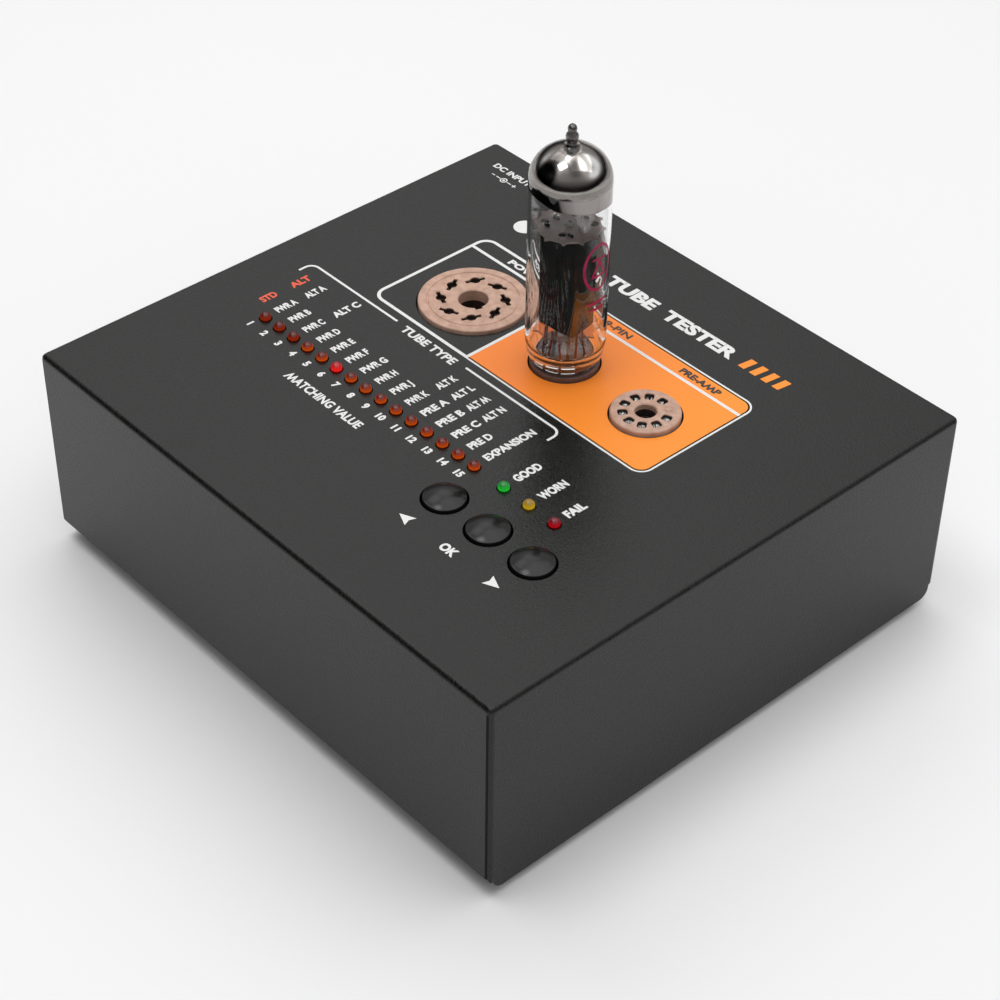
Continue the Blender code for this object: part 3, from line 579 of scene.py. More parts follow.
def prism(bm, outline, z0, z1):
    lo = [bm.verts.new((x, y, z0)) for x, y in outline]
    hi = [bm.verts.new((x, y, z1)) for x, y in outline]
    n = len(outline)
    bm.faces.new(list(reversed(lo)))
    bm.faces.new(hi)
    for i in range(n):
        j = (i + 1) % n
        bm.faces.new((lo[i], lo[j], hi[j], hi[i]))


def ring(r, n, cx=0.0, cy=0.0, turn=0.0):
    return [(cx + r * math.cos(turn + 2 * math.pi * i / n), cy + r * math.sin(turn + 2 * math.pi * i / n))
            for i in range(n)]


def cyl(bm, r, z0, z1, n, cx=0.0, cy=0.0, turn=0.0):
    prism(bm, ring(r, n, cx, cy, turn), z0, z1)


def lathe(bm, profile, n, cx=0.0, cy=0.0, closed=False):
    rings = []
    for r, z in profile:
        if r < 1e-9:
            rings.append([bm.verts.new((cx, cy, z))])
        else:
            rings.append([bm.verts.new((cx + r * math.cos(2 * math.pi * i / n),
                                        cy + r * math.sin(2 * math.pi * i / n), z)) for i in range(n)])
    count = len(rings) if closed else len(rings) - 1
    for k in range(count):
        a, b = rings[k], rings[(k + 1) % len(rings)]
        for i in range(n):
            j = (i + 1) % n
            if len(a) == 1:
                bm.faces.new((a[0], b[j], b[i]))
            elif len(b) == 1:
                bm.faces.new((a[i], a[j], b[0]))
            else:
                bm.faces.new((a[i], a[j], b[j], b[i]))


def rounded(points, r, seg=6):
    """Rounds the corners of a plan outline."""
    out = []
    n = len(points)
    for i in range(n):
        p0, p, p1 = Vector(points[i - 1]), Vector(points[i]), Vector(points[(i + 1) % n])
        a, b = (p0 - p).normalized(), (p1 - p).normalized()
        half = a.angle(b) / 2
        d = min(r / math.tan(half), (p0 - p).length * 0.49, (p1 - p).length * 0.49)
        rr = d * math.tan(half)
        c = p + (a + b).normalized() * (rr / math.sin(half))
        s, e = p + a * d - c, p + b * d - c
        a0, a1 = math.atan2(s.y, s.x), math.atan2(e.y, e.x)
        da = (a1 - a0 + math.pi) % (2 * math.pi) - math.pi
        for k in range(seg + 1):
            t = a0 + da * k / seg
            out.append((c.x + rr * math.cos(t), c.y + rr * math.sin(t)))
    return out


def arc(cx, cy, r, a0, a1, n):
    return [(cx + r * math.cos(a0 + (a1 - a0) * i / n), cy + r * math.sin(a0 + (a1 - a0) * i / n))
            for i in range(n + 1)]


def extrude_x(bm, outline_yz, x0, x1):
    lo = [bm.verts.new((x0, y, z)) for y, z in outline_yz]
    hi = [bm.verts.new((x1, y, z)) for y, z in outline_yz]
    n = len(outline_yz)
    bm.faces.new(list(reversed(lo)))
    bm.faces.new(hi)
    for i in range(n):
        j = (i + 1) % n
        bm.faces.new((lo[i], lo[j], hi[j], hi[i]))


def tube_along(bm, points, r, n=8):
    """Round wire through points, closed at both ends."""
    pts = [Vector(p) for p in points]
    rings = []
    ref = Vector((0.31, 0.87, 0.38)).normalized()
    for i, p in enumerate(pts):
        d = (pts[min(i + 1, len(pts) - 1)] - pts[max(i - 1, 0)]).normalized()
        u = d.cross(ref).normalized()
        v = d.cross(u)
        rings.append([bm.verts.new(p + r * (math.cos(2 * math.pi * k / n) * u + math.sin(2 * math.pi * k / n) * v))
                      for k in range(n)])
    for a, b in zip(rings, rings[1:]):
        for k in range(n):
            j = (k + 1) % n
            bm.faces.new((a[k], a[j], b[j], b[k]))
    bm.faces.new(list(reversed(rings[0])))
    bm.faces.new(rings[-1])


# ------------------------------------------------------------------ case
def rounded_top_box(bm, hx, hy, z0, z1, r, seg):
    """Box with a bend radius on its top edges and its vertical corners."""
    box(bm, (-hx, -hy, z0), (hx, hy, z1))
    bent = [e for e in bm.edges if all(abs(v.co.z - z1) < 1e-6 for v in e.verts)
            or abs(e.verts[0].co.z - e.verts[1].co.z) > 1e-6]
    bmesh.ops.bevel(bm, geom=bent, offset=r, segments=seg, profile=0.5, affect="EDGES")


def build_cover():
    bend, setback, corner, flange_z = 1.55 * MM, 1.75 * MM, 3.0 * MM, PANEL_Z - 56.2 * MM
    base = bmesh.new()
    rounded_top_box(base, HX, HY, CASE_Z0, PANEL_Z, bend, 8)
    steps = []
    bm = bmesh.new()
    rounded_top_box(bm, HX - SHEET_T, HY - SHEET_T, CASE_Z0 - 4 * MM, PANEL_Z - SHEET_T, bend - SHEET_T, 4)
    steps.append(("DIFFERENCE", bm))
    bm = bmesh.new()
    z0, z1 = PANEL_Z - 3 * MM, PANEL_Z + 2 * MM
    cyl(bm, 15.45 * MM, z0, z1, 96, OCTAL.x, OCTAL.y)
    cyl(bm, 9.65 * MM, z0, z1, 72, POWER.x, POWER.y)
    cyl(bm, 9.65 * MM, z0, z1, 72, PREAMP.x, PREAMP.y)
    for c in BUTTONS.values():
        cyl(bm, 6.1 * MM, z0, z1, 72, c.x, c.y)
    for n in LAMPS:
        c = centre(n)
        cyl(bm, 1.80 * MM, z0, z1, 28, c.x, c.y)
    nose = bmesh.new()
    cyl(nose, 4.8 * MM, 0.0, 6 * MM, 48)
    jc = jack_axis()
    bmesh.ops.transform(nose, matrix=Matrix.Translation((jc.x, HY - 3 * MM, jc.z))
                        @ Matrix.Rotation(-math.pi / 2, 4, "X"), verts=nose.verts)
    me = bpy.data.meshes.new("n")
    nose.to_mesh(me)
    nose.free()
    bm.from_mesh(me)
    bpy.data.meshes.remove(me)
    steps.append(("DIFFERENCE", bm))
    # the end flanges stop above the tray's bend; the side flanges go on down, corners rounded
    bm = bmesh.new()
    y1 = HY - setback
    for sy in (-1, 1):
        curve = arc(y1 - corner, CASE_Z0 + corner, corner, 0.0, -math.pi / 2, 12)
        outline = [(HY + 3 * MM, CASE_Z0 - 3 * MM), (HY + 3 * MM, flange_z), (y1, flange_z)] + curve \
            + [(y1 - corner, CASE_Z0 - 3 * MM)]
        extrude_x(bm, [(sy * y, z) for y, z in outline], -HX - 2 * MM, HX + 2 * MM)
    steps.append(("DIFFERENCE", bm))
    me = boolean_mesh(base, steps, (0.12 * MM, 2, 50))
    ob = make_object("cover_shell", me, "paint", "case", 30, weighted=True)
    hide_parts("top_cover")
    return ob


def build_seams():
    """Dark joint down each corner, where the end flange meets the side flange."""
    bend = 1.55 * MM
    for sx, nx in ((-1, "left"), (1, "right")):
        for sy, ny in ((-1, "front"), (1, "rear")):
            cx, cy = sx * (HX - bend), sy * (HY - bend)
            pts = []
            for r, angles in ((bend + 0.012 * MM, range(8, 33, 4)), (bend - 0.25 * MM, range(32, 7, -4))):
                pts += [(cx + sx * r * math.sin(math.radians(q)), cy + sy * r * math.cos(math.radians(q))) for q in angles]
            bm = bmesh.new()
            prism(bm, pts, PANEL_Z - 56.0 * MM, PANEL_Z - 1.9 * MM)
            finish_mesh("corner_seam_%s_%s" % (ny, nx), bm, "seam", "case", 35)
    # painted highlight: a lighter strip along the lower edge of the end flanges, where the edge catches the light
    for sy, ny in ((-1, "front"), (1, "rear")):
        bm = bmesh.new()
        z0 = PANEL_Z - 56.2 * MM
        extrude_x(bm, [(sy * (HY + 0.010 * MM), z0 + 0.07 * MM), (sy * (HY + 0.010 * MM), z0 + 0.27 * MM),
                       (sy * (HY - 0.30 * MM), z0 + 0.27 * MM), (sy * (HY - 0.30 * MM), z0 + 0.07 * MM)],
                  -HX + 2.2 * MM, HX - 2.2 * MM)
        finish_mesh("flange_edge_%s" % ny, bm, "edge_painted_highlight", "case", 35)


def jack_axis():
    lo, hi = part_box("dc_jack")
    return Vector(((lo.x + hi.x) / 2, hi.y, lo.z + 5.6 * MM))


def build_tray():
    lo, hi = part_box("bottom_tray")
    y_out, z0, top = hi.y, lo.z, hi.z
    r, t = 2.3 * MM, SHEET_T
    outer = [(-y_out, top)] + arc(-y_out + r, z0 + r, r, math.pi, 1.5 * math.pi, 16) \
        + arc(y_out - r, z0 + r, r, -math.pi / 2, 0.0, 16) + [(y_out, top)]
    inner = [(y_out - t, top)] + arc(y_out - r, z0 + r, r - t, 0.0, -math.pi / 2, 16) \
        + arc(-y_out + r, z0 + r, r - t, 1.5 * math.pi, math.pi, 16) + [(-y_out + t, top)]
    bm = bmesh.new()
    extrude_x(bm, outer + inner, lo.x, hi.x)
    cut = bmesh.new()
    for n in ("front_left", "front_right", "rear_left", "rear_right"):
        c = centre("foot_" + n)
        cyl(cut, 1.85 * MM, z0 - MM, z0 + 3 * MM, 32, c.x, c.y)
    me = boolean_mesh(bm, [("DIFFERENCE", cut)], (0.14 * MM, 2, 40))
    ob = make_object("tray_shell", me, "tray", "case", 30, weighted=True)
    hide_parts("bottom_tray")


def build_feet():
    for n in ("front_left", "front_right", "rear_left", "rear_right"):
        lo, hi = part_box("foot_" + n)
        c = (lo + hi) / 2
        top = hi.z
        bm = bmesh.new()
        prof = [(3.6 * MM, 0.15 * MM), (3.75 * MM, 0.0), (6.25 * MM, 0.0)]
        prof += [(6.4 * MM + 0.6 * MM * math.sin(a), 0.6 * MM * (1 - math.cos(a)))
                 for a in [math.pi / 2 * k / 5 for k in range(1, 6)]]
        prof += [(7.0 * MM, top - 0.15 * MM), (6.85 * MM, top), (1.85 * MM, top), (1.85 * MM, 1.6 * MM),
                 (3.5 * MM, 1.6 * MM), (3.6 * MM, 1.5 * MM)]
        lathe(bm, prof, 64, c.x, c.y, closed=True)
        ob = finish_mesh("rubber_foot_" + n, bm, "rubber", "case", 40)
        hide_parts("foot_" + n)
        # pan head screw with a cross recess
        lo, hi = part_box("foot_screw_" + n)
        bm = bmesh.new()
        prof = [(0.0, 0.2 * MM), (1.2 * MM, 0.22 * MM), (2.2 * MM, 0.40 * MM), (2.62 * MM, 0.66 * MM),
                (2.8 * MM, 0.95 * MM), (2.8 * MM, 1.3 * MM), (1.5 * MM, 1.3 * MM), (1.5 * MM, hi.z - 0.8 * MM),
                (0.9 * MM, hi.z), (0.0, hi.z)]
        lathe(bm, prof, 40, c.x, c.y)
        cut = bmesh.new()
        for a in (0.0, math.pi / 2):
            box(cut, (c.x - 1.35 * MM, c.y - 0.28 * MM, -0.4 * MM), (c.x + 1.35 * MM, c.y + 0.28 * MM, 0.85 * MM),
                a + 0.5, (c.x, c.y))
            if a == 0.0:
                first = cut
                cut = bmesh.new()
        me = boolean_mesh(bm, [("DIFFERENCE", first), ("DIFFERENCE", cut)])
        ob = make_object("foot_bolt_" + n, me, "zinc", "case", 40)
        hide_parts("foot_screw_" + n)


# ------------------------------------------------------------------ printing on the panel
INK_LO = 0.012 * MM
INK_HI = 0.045 * MM


def ink_prism(name, outlines, mat, lift=0.0, holes=()):
    """Thin printed layer: outline polygons in row frame metres, with optional round holes."""
    bm = bmesh.new()
    for o in outlines:
        prism(bm, o, PANEL_Z + INK_LO + lift, PANEL_Z + INK_HI + lift)
    if holes:
        cut = bmesh.new()
        for c, r in holes:
            cyl(cut, r, PANEL_Z - MM, PANEL_Z + MM, 96, c.x, c.y)
        me = boolean_mesh(bm, [("DIFFERENCE", cut)])
        return make_object(name, me, mat, "case", 30)
    return finish_mesh(name, bm, mat, "case", 30, doubles=0)


def frame_band(outer, inner):
    """Closed band between two outlines with the same number of points."""
    bm = bmesh.new()
    rings = []
    for pts, z in ((outer, INK_LO), (outer, INK_HI), (inner, INK_HI), (inner, INK_LO)):
        rings.append([bm.verts.new((x, y, PANEL_Z + z)) for x, y in pts])
    n = len(outer)
    for k in range(4):
        a, b = rings[k], rings[(k + 1) % 4]
        for i in range(n):
            j = (i + 1) % n
            bm.faces.new((a[i], a[j], b[j], b[i]))
    return bm


def turn_letters(bm, which):
    """Gives the numbered letters of a flat line of lettering a half turn about their middles."""
    if not which:
        return
    seen, letters = set(), []
    for v in bm.verts:
        if v in seen:
            continue
        seen.add(v)
        stack, group = [v], []
        while stack:
            q = stack.pop()
            group.append(q)
            for e in q.link_edges:
                w = e.other_vert(q)
                if w not in seen:
                    seen.add(w)
                    stack.append(w)
        letters.append(group)
    letters.sort(key=lambda g: min(v.co.x for v in g) + max(v.co.x for v in g))
    for i in which:
        g = letters[i]
        sx = min(v.co.x for v in g) + max(v.co.x for v in g)
        sy = min(v.co.y for v in g) + max(v.co.y for v in g)
        for v in g:
            v.co.x, v.co.y = sx - v.co.x, sy - v.co.y


def text(name, words, x_mm, y_mm, cap_mm, mat, width_mm=None, turn=0.0, align="CENTER", weight=0.035, lift=0.0):
    """Lettering as a thin printed solid.  Width scales the line to its printed length."""
    cu = bpy.data.curves.new(name, "FONT")
    cu.body = words.replace("M", "W")
    cu.size = 1.0
    cu.resolution_u = 3
    cu.offset = weight
    cu.extrude = 0.0
    ob = bpy.data.objects.new(name, cu)
    bpy.context.scene.collection.objects.link(ob)
    bpy.context.view_layer.update()
    deps = bpy.context.evaluated_depsgraph_get()
    me = bpy.data.meshes.new_from_object(ob.evaluated_get(deps))
    bpy.data.objects.remove(ob, do_unlink=True)
    co = np.array([v.co for v in me.vertices])
    x0, x1 = co[:, 0].min(), co[:, 0].max()
    y0, y1 = co[:, 1].min(), co[:, 1].max()
    sy = cap_mm * MM / (CAP_H + 2 * weight)
    sx = sy if width_mm is None else width_mm * MM / (x1 - x0)
    ax = {"CENTER": (x0 + x1) / 2, "LEFT": x0, "RIGHT": x1}[align]
    px, py = panel(x_mm, y_mm)
    bm = bmesh.new()
    bm.from_mesh(me)
    bpy.data.meshes.remove(me)
    bmesh.ops.remove_doubles(bm, verts=bm.verts, dist=1e-5)
    turn_letters(bm, [i for i, ch in enumerate(words.replace(" ", "")) if ch == "M"])
    bmesh.ops.dissolve_limit(bm, angle_limit=math.radians(1), verts=bm.verts, edges=bm.edges)
    m = (Matrix.Translation((px, py, PANEL_Z + INK_LO + lift)) @ Matrix.Rotation(turn, 4, "Z")
         @ Matrix.Diagonal((sx, sy, 1.0, 1.0)) @ Matrix.Translation((-ax, weight - 0.0, 0.0)))
    bm.transform(m)
    faces = list(bm.faces)
    for f in faces:
        if f.normal.z > 0:
            f.normal_flip()
    out = bmesh.ops.extrude_face_region(bm, geom=faces)
    up = [g for g in out["geom"] if isinstance(g, bmesh.types.BMVert)]
    bmesh.ops.translate(bm, vec=(0, 0, INK_HI - INK_LO), verts=up)
    return finish_mesh(name, bm, mat, "case", 30, doubles=0)


def measure_cap():
    cu = bpy.data.curves.new("cap", "FONT")
    cu.body = "H"
    cu.size = 1.0
    ob = bpy.data.objects.new("cap", cu)
    bpy.context.scene.collection.objects.link(ob)
    bpy.context.view_layer.update()
    me = bpy.data.meshes.new_from_object(ob.evaluated_get(bpy.context.evaluated_depsgraph_get()))
    h = max(v.co.y for v in me.vertices) - min(v.co.y for v in me.vertices)
    bpy.data.objects.remove(ob, do_unlink=True)
    return h


CAP_H = 0.7


def rect(x0, y0, x1, y1):
    (ax, ay), (bx, by) = panel(x0, y0), panel(x1, y1)
    return [(ax, ay), (bx, ay), (bx, by), (ax, by)]


def build_print():
    global CAP_H
    CAP_H = measure_cap()
    r90 = math.pi / 2
    # orange field with its rounded right-hand corners, cut around the two sockets
    x0, x1, y0, y1 = 72.6, 136.9, 83.1, 124.6
    rr = 3.4
    pts = [panel(x0, y0)] + \
          [panel(x, y) for x, y in arc(x1 - rr, y0 + rr, rr, -math.pi / 2, 0, 10)] + \
          [panel(x, y) for x, y in arc(x1 - rr, y1 - rr, rr, 0, math.pi / 2, 10)] + [panel(x0, y1)]
    ink_prism("print_orange_field", [pts], "orange",
              holes=((POWER, 9.75 * MM), (PREAMP, 9.75 * MM)))
    # white outline, its divider bars
    o = rounded(rect(33.62, 82.52, 137.48, 125.18), 4.1 * MM, 10)
    i = rounded(rect(34.62, 83.52, 136.48, 124.18), 3.1 * MM, 10)
    finish_mesh("print_outline", frame_band(o, i), "white_ink", "case", 30, doubles=0)
    ink_prism("print_divider_header", [rect(34.5, 118.43, 136.6, 119.42)], "white_ink", lift=0.04 * MM)
    ink_prism("print_divider_upright", [rect(71.65, 83.4, 72.65, 124.3)], "white_ink", lift=0.04 * MM)
    # bracket over the lamp legends: two strokes with rounded outer corners
    w = 0.72

    def bracket(xa, xb, ya, yb, side):
        r = 2.6
        if side < 0:
            line = [(xb, yb)] + arc(xa + r, yb - r, r, math.pi / 2, math.pi, 8) + [(xa, ya)]
        else:
            line = [(xa, yb)] + arc(xb - r, yb - r, r, math.pi / 2, 0, 8) + [(xb, ya)]
        left, right = [], []
        for k, p in enumerate(line):
            a = Vector(line[max(k - 1, 0)])
            b = Vector(line[min(k + 1, len(line) - 1)])
            d = (b - a).normalized()
            nrm = Vector((-d.y, d.x)) * w / 2
            left.append(panel(p[0] + nrm.x, p[1] + nrm.y))
            right.append(panel(p[0] - nrm.x, p[1] - nrm.y))
        outline = left + list(reversed(right))
        area = sum(outline[k - 1][0] * outline[k][1] - outline[k][0] * outline[k - 1][1] for k in range(len(outline)))
        return outline if area > 0 else list(reversed(outline))
    ink_prism("print_bracket_left", [bracket(12.0, 48.0, 74.9, 79.7, -1)], "white_ink")
    ink_prism("print_bracket_right", [bracket(75.6, 111.8, 74.9, 79.7, 1)], "white_ink")
    text("print_tube_type", "TUBE TYPE", 61.7, 77.5, 2.9, "white_ink", 20.8)
    # legend columns, reading upwards
    main = ["PWR A", "PWR B", "PWR C", "PWR D", "PWR E", "PWR F", "PWR G", "PWR H", "PWR J", "PWR K",
            "PRE A", "PRE B", "PRE C", "PRE D", "EXPANSION"]
    wide = [6.8, 5.0, 5.0, 7.0, 7.0, 7.0, 8.2, 6.6, 6.4, 6.9, 8.4, 8.6, 8.6, 7.4, 16.6]
    wide = [max(v, 6.6) for v in wide]
    for k, (label, width) in enumerate(zip(main, wide)):
        x = 23.0 + 6.0 * k
        text("print_main_%02d" % (k + 1), label, x + 1.3, 58.2, 2.6, "white_ink", width, r90, "LEFT", 0.045)
        text("print_number_%02d" % (k + 1), str(k + 1), x, 48.3, 2.35, "white_ink", weight=0.05)
    for k, width in ((0, 7.2), (2, 9.6), (9, 7.2), (10, 7.8), (11, 7.8), (12, 7.8)):
        text("print_alt_%02d" % (k + 1), "ALT %s" % "ABCDEFGHJKLMN"[k], 23.0 + 6.0 * k + 1.3, 68.3, 2.6,
             "white_ink", width * 0.92, r90, "LEFT", 0.045)
    text("print_head_main", "STD", 16.6 + 1.3, 58.0, 2.6, "red_ink", 5.2, r90, "LEFT", 0.045)
    text("print_head_alt", "ALT", 16.6 + 1.3, 68.3, 2.6, "red_ink", 6.6, r90, "LEFT", 0.045)
    text("print_matching", "MATCHING VALUE", 61.8, 41.5, 2.9, "white_ink", 29.7)
    # status words
    for x, word, width in ((117.9, "GOOD", 8.6), (127.0, "WORN", 8.9), (136.1, "FAIL", 6.4)):
        text("print_" + word.lower(), word, x + 1.4, 58.2, 2.8, "white_ink", width, r90, "LEFT", 0.05)
    # button legends
    y = 28.4
    ink_prism("print_arrow_left", [[panel(109.0, y), panel(113.2, y - 1.9), panel(112.5, y), panel(113.2, y + 1.9)]],
              "white_ink")
    ink_prism("print_arrow_right", [[panel(145.1, y), panel(140.9, y + 1.9), panel(141.6, y), panel(140.9, y - 1.9)]],
              "white_ink")
    text("print_ok", "OK", 127.0, y - 1.35, 2.9, "white_ink", 5.2, weight=0.05)
    # socket headings
    text("print_power", "POWER", 54.4, 120.55, 2.3, "white_ink", 15.2, weight=0.05)
    text("print_nine_pin", "9-PIN", 89.6, 120.55, 2.3, "black_ink", 9.6, weight=0.03, lift=0.04 * MM)
    text("print_preamp", "PRE-AMP", 120.1, 120.55, 2.3, "black_ink", 14.0, weight=0.05, lift=0.04 * MM)
    # title: plain words, a roundel and an orange bar mark
    text("print_title_tube", "TUBE", 70.7, 134.3, 4.7, "white_ink", 18.2, align="LEFT", weight=0.05)
    text("print_title_tester", "TESTER", 92.4, 134.3, 4.7, "white_ink", 26.0, align="LEFT", weight=0.05)
    bars = []
    for k in range(4):
        xa = 121.4 + 4.0 * k
        bars.append([panel(xa, 134.3), panel(xa + 2.2, 134.3), panel(xa + 2.9, 139.0), panel(xa + 0.7, 139.0)])
    ink_prism("print_title_bars", bars, "orange")
    cx, cy = panel(36.9, 136.4)
    ink_prism("print_roundel", [ring(3.2 * MM, 48, cx, cy)], "white_ink")
    ink_prism("print_roundel_rule", [rect(42.0, 136.1, 67.0, 136.7)], "white_ink")
    # inlet legend and polarity sign
    text("print_dc_in", "DC INPUT", 14.6, 151.1, 2.3, "white_ink", 15.0)
    cx, cy = panel(15.0, 148.3)
    o, i = ring(1.15 * MM, 32, cx, cy), ring(0.78 * MM, 32, cx, cy)
    finish_mesh("print_polarity_ring", frame_band(o, i), "white_ink", "case", 30, doubles=0)
    ink_prism("print_polarity_dot", [ring(0.42 * MM, 20, cx, cy)], "white_ink")
    ink_prism("print_polarity_lines", [rect(11.9, 148.13, 13.6, 148.47), rect(16.4, 148.13, 18.1, 148.47),
                                       rect(10.1, 148.13, 11.3, 148.47)], "white_ink")
    px, py = panel(19.3, 148.3)
    a, b = 0.75 * MM, 0.17 * MM
    ink_prism("print_polarity_plus", [[(px - a, py - b), (px - b, py - b), (px - b, py - a), (px + b, py - a),
                                       (px + b, py - b), (px + a, py - b), (px + a, py + b), (px + b, py + b),
                                       (px + b, py + a), (px - b, py + a), (px - b, py + b), (px - a, py + b)]],
              "white_ink")


# ------------------------------------------------------------------ sockets
def sleeve(bm, outer, inner, z0, z1):
    """Closed upright band between two plan outlines with the same number of points."""
    rings = [[bm.verts.new((x, y, z)) for x, y in pts]
             for pts, z in ((outer, z0), (outer, z1), (inner, z1), (inner, z0))]
    n = len(outer)
    for k in range(4):
        a, b = rings[k], rings[(k + 1) % 4]
        for i in range(n):
            j = (i + 1) % n
            bm.faces.new((a[i], a[j], b[j], b[i]))


def key_slot(cx, cy, rot, r, w, reach, n=12):
    """Plan outline of a round hole with an arm to either side."""
    g = math.asin(w / r)
    pts = [(reach, -w), (reach, w)]
    pts += [(r * math.cos(g + (math.pi - 2 * g) * i / n), r * math.sin(g + (math.pi - 2 * g) * i / n)) for i in range(n + 1)]
    pts += [(-reach, w), (-reach, -w)]
    pts += [(r * math.cos(math.pi + g + (math.pi - 2 * g) * i / n), r * math.sin(math.pi + g + (math.pi - 2 * g) * i / n))
            for i in range(n + 1)]
    c, s = math.cos(rot), math.sin(rot)
    return [(cx + x * c - y * s, cy + x * s + y * c) for x, y in pts]


def build_octal():
    c = OCTAL
    lo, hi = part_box("octal_socket")
    top, base = hi.z, lo.z
    R, hole = 15.05 * MM, 4.1 * MM
    body = 13.0 * MM
    prof = [(hole, base), (body, base), (body, PANEL_Z - 5.5 * MM), (R, PANEL_Z - 4.5 * MM)]
    prof += [(R - 0.45 * MM * (1 - math.cos(a)), top - 0.45 * MM + 0.45 * MM * math.sin(a))
             for a in [math.pi / 2 * k / 5 for k in range(0, 6)]]
    prof += [(12.75 * MM, top), (12.60 * MM, top - 0.28 * MM), (12.30 * MM, top - 0.28 * MM), (12.12 * MM, top),
             (hole + 0.28 * MM, top), (hole, top - 0.25 * MM)]
    bm = bmesh.new()
    lathe(bm, prof, 128, c.x, c.y, closed=True)
    steps = []
    pcr, tilt = 17.45 / 2 * MM, math.radians(24)
    cut = bmesh.new()
    # dark sleeves down the pocket walls: painted shade in the holes
    painted_shade_sleeve = bmesh.new()
    for k in range(8):
        a = 2 * math.pi * k / 8
        x, y, rot = c.x + pcr * math.cos(a), c.y + pcr * math.sin(a), a + math.pi / 2 + tilt
        prism(cut, key_slot(x, y, rot, 1.46 * MM, 0.60 * MM, 2.85 * MM), top - 12 * MM, top + MM)
        sleeve(painted_shade_sleeve, key_slot(x, y, rot, 1.44 * MM, 0.58 * MM, 2.83 * MM), key_slot(x, y, rot, 1.34 * MM, 0.48 * MM, 2.73 * MM),
               top - 9 * MM, top - 0.30 * MM)
    steps.append(("DIFFERENCE", cut))
    finish_mesh("octal_pocket_painted_shade", painted_shade_sleeve, "hole_painted_shade", "case", 35)
    # painted shade: dark sleeve down the centre bore
    painted_shade_sleeve = bmesh.new()
    sleeve(painted_shade_sleeve, ring(hole - 0.02 * MM, 64, c.x, c.y), ring(hole - 0.16 * MM, 64, c.x, c.y), base + 1.3 * MM, top - 3.4 * MM)
    finish_mesh("octal_bore_painted_shade", painted_shade_sleeve, "hole_painted_shade", "case", 35)
    cut = bmesh.new()
    box(cut, (c.x + hole - 1.2 * MM, c.y - 1.05 * MM, base - MM), (c.x + hole + 1.0 * MM, c.y + 1.05 * MM, top + MM),
        math.radians(-22.5), (c.x, c.y))
    steps.append(("DIFFERENCE", cut))
    me = boolean_mesh(bm, steps, (0.10 * MM, 2, 50))
    ob = make_object("octal_ceramic", me, "ceramic", "case", 35)
    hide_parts("octal_socket")
    # spring contacts down in the slots
    for k in range(8):
        a = 2 * math.pi * k / 8
        x, y = c.x + pcr * math.cos(a), c.y + pcr * math.sin(a)
        bm = bmesh.new()
        z1 = top - 1.3 * MM
        n = 20
        rings = []
        for r, z in ((1.12, z1 - 6 * MM), (1.12, z1), (0.86, z1), (0.86, z1 - 6 * MM)):
            rings.append([bm.verts.new((x + r * MM * math.cos(a + 0.5 + (2 * math.pi - 1.0) * i / n),
                                        y + r * MM * math.sin(a + 0.5 + (2 * math.pi - 1.0) * i / n), z))
                          for i in range(n + 1)])
        for q in range(4):
            p, s = rings[q], rings[(q + 1) % 4]
            for i in range(n):
                bm.faces.new((p[i], p[i + 1], s[i + 1], s[i]))
        bm.faces.new([rings[q][0] for q in range(4)])
        bm.faces.new([rings[q][n] for q in (3, 2, 1, 0)])
        rot = a + math.pi / 2 + tilt
        for s in (-1, 1):
            ux, uy = math.cos(rot) * s, math.sin(rot) * s
            pts = [(1.16, 0.14), (2.45, 0.14), (2.55, 0.0), (2.45, -0.14), (1.16, -0.14)]
            outline = [(x + ux * p * MM - uy * q * MM, y + uy * p * MM + ux * q * MM) for p, q in pts]
            area = sum(outline[i - 1][0] * outline[i][1] - outline[i][0] * outline[i - 1][1] for i in range(5))
            prism(bm, outline if area > 0 else outline[::-1], z1 - 6 * MM, z1 - 0.4 * MM)
        finish_mesh("octal_contact_%d" % (k + 1), bm, "contact_dull", "case", 35, doubles=0)
    # stepped floor seen through the centre, in the painted shade colour of the holes
    bm = bmesh.new()
    lathe(bm, [(0.0, base + 0.2 * MM), (3.6 * MM, base + 0.2 * MM), (3.6 * MM, base + 0.9 * MM), (3.3 * MM, base + 1.2 * MM),
               (1.2 * MM, base + 1.2 * MM), (1.0 * MM, base + 0.8 * MM), (0.0, base + 0.8 * MM)], 48, c.x, c.y)
    finish_mesh("octal_floor", bm, "hole_painted_shade", "case", 35)


def noval_angles():
    return [math.radians(54 + 36 * k) for k in range(1, 10)]


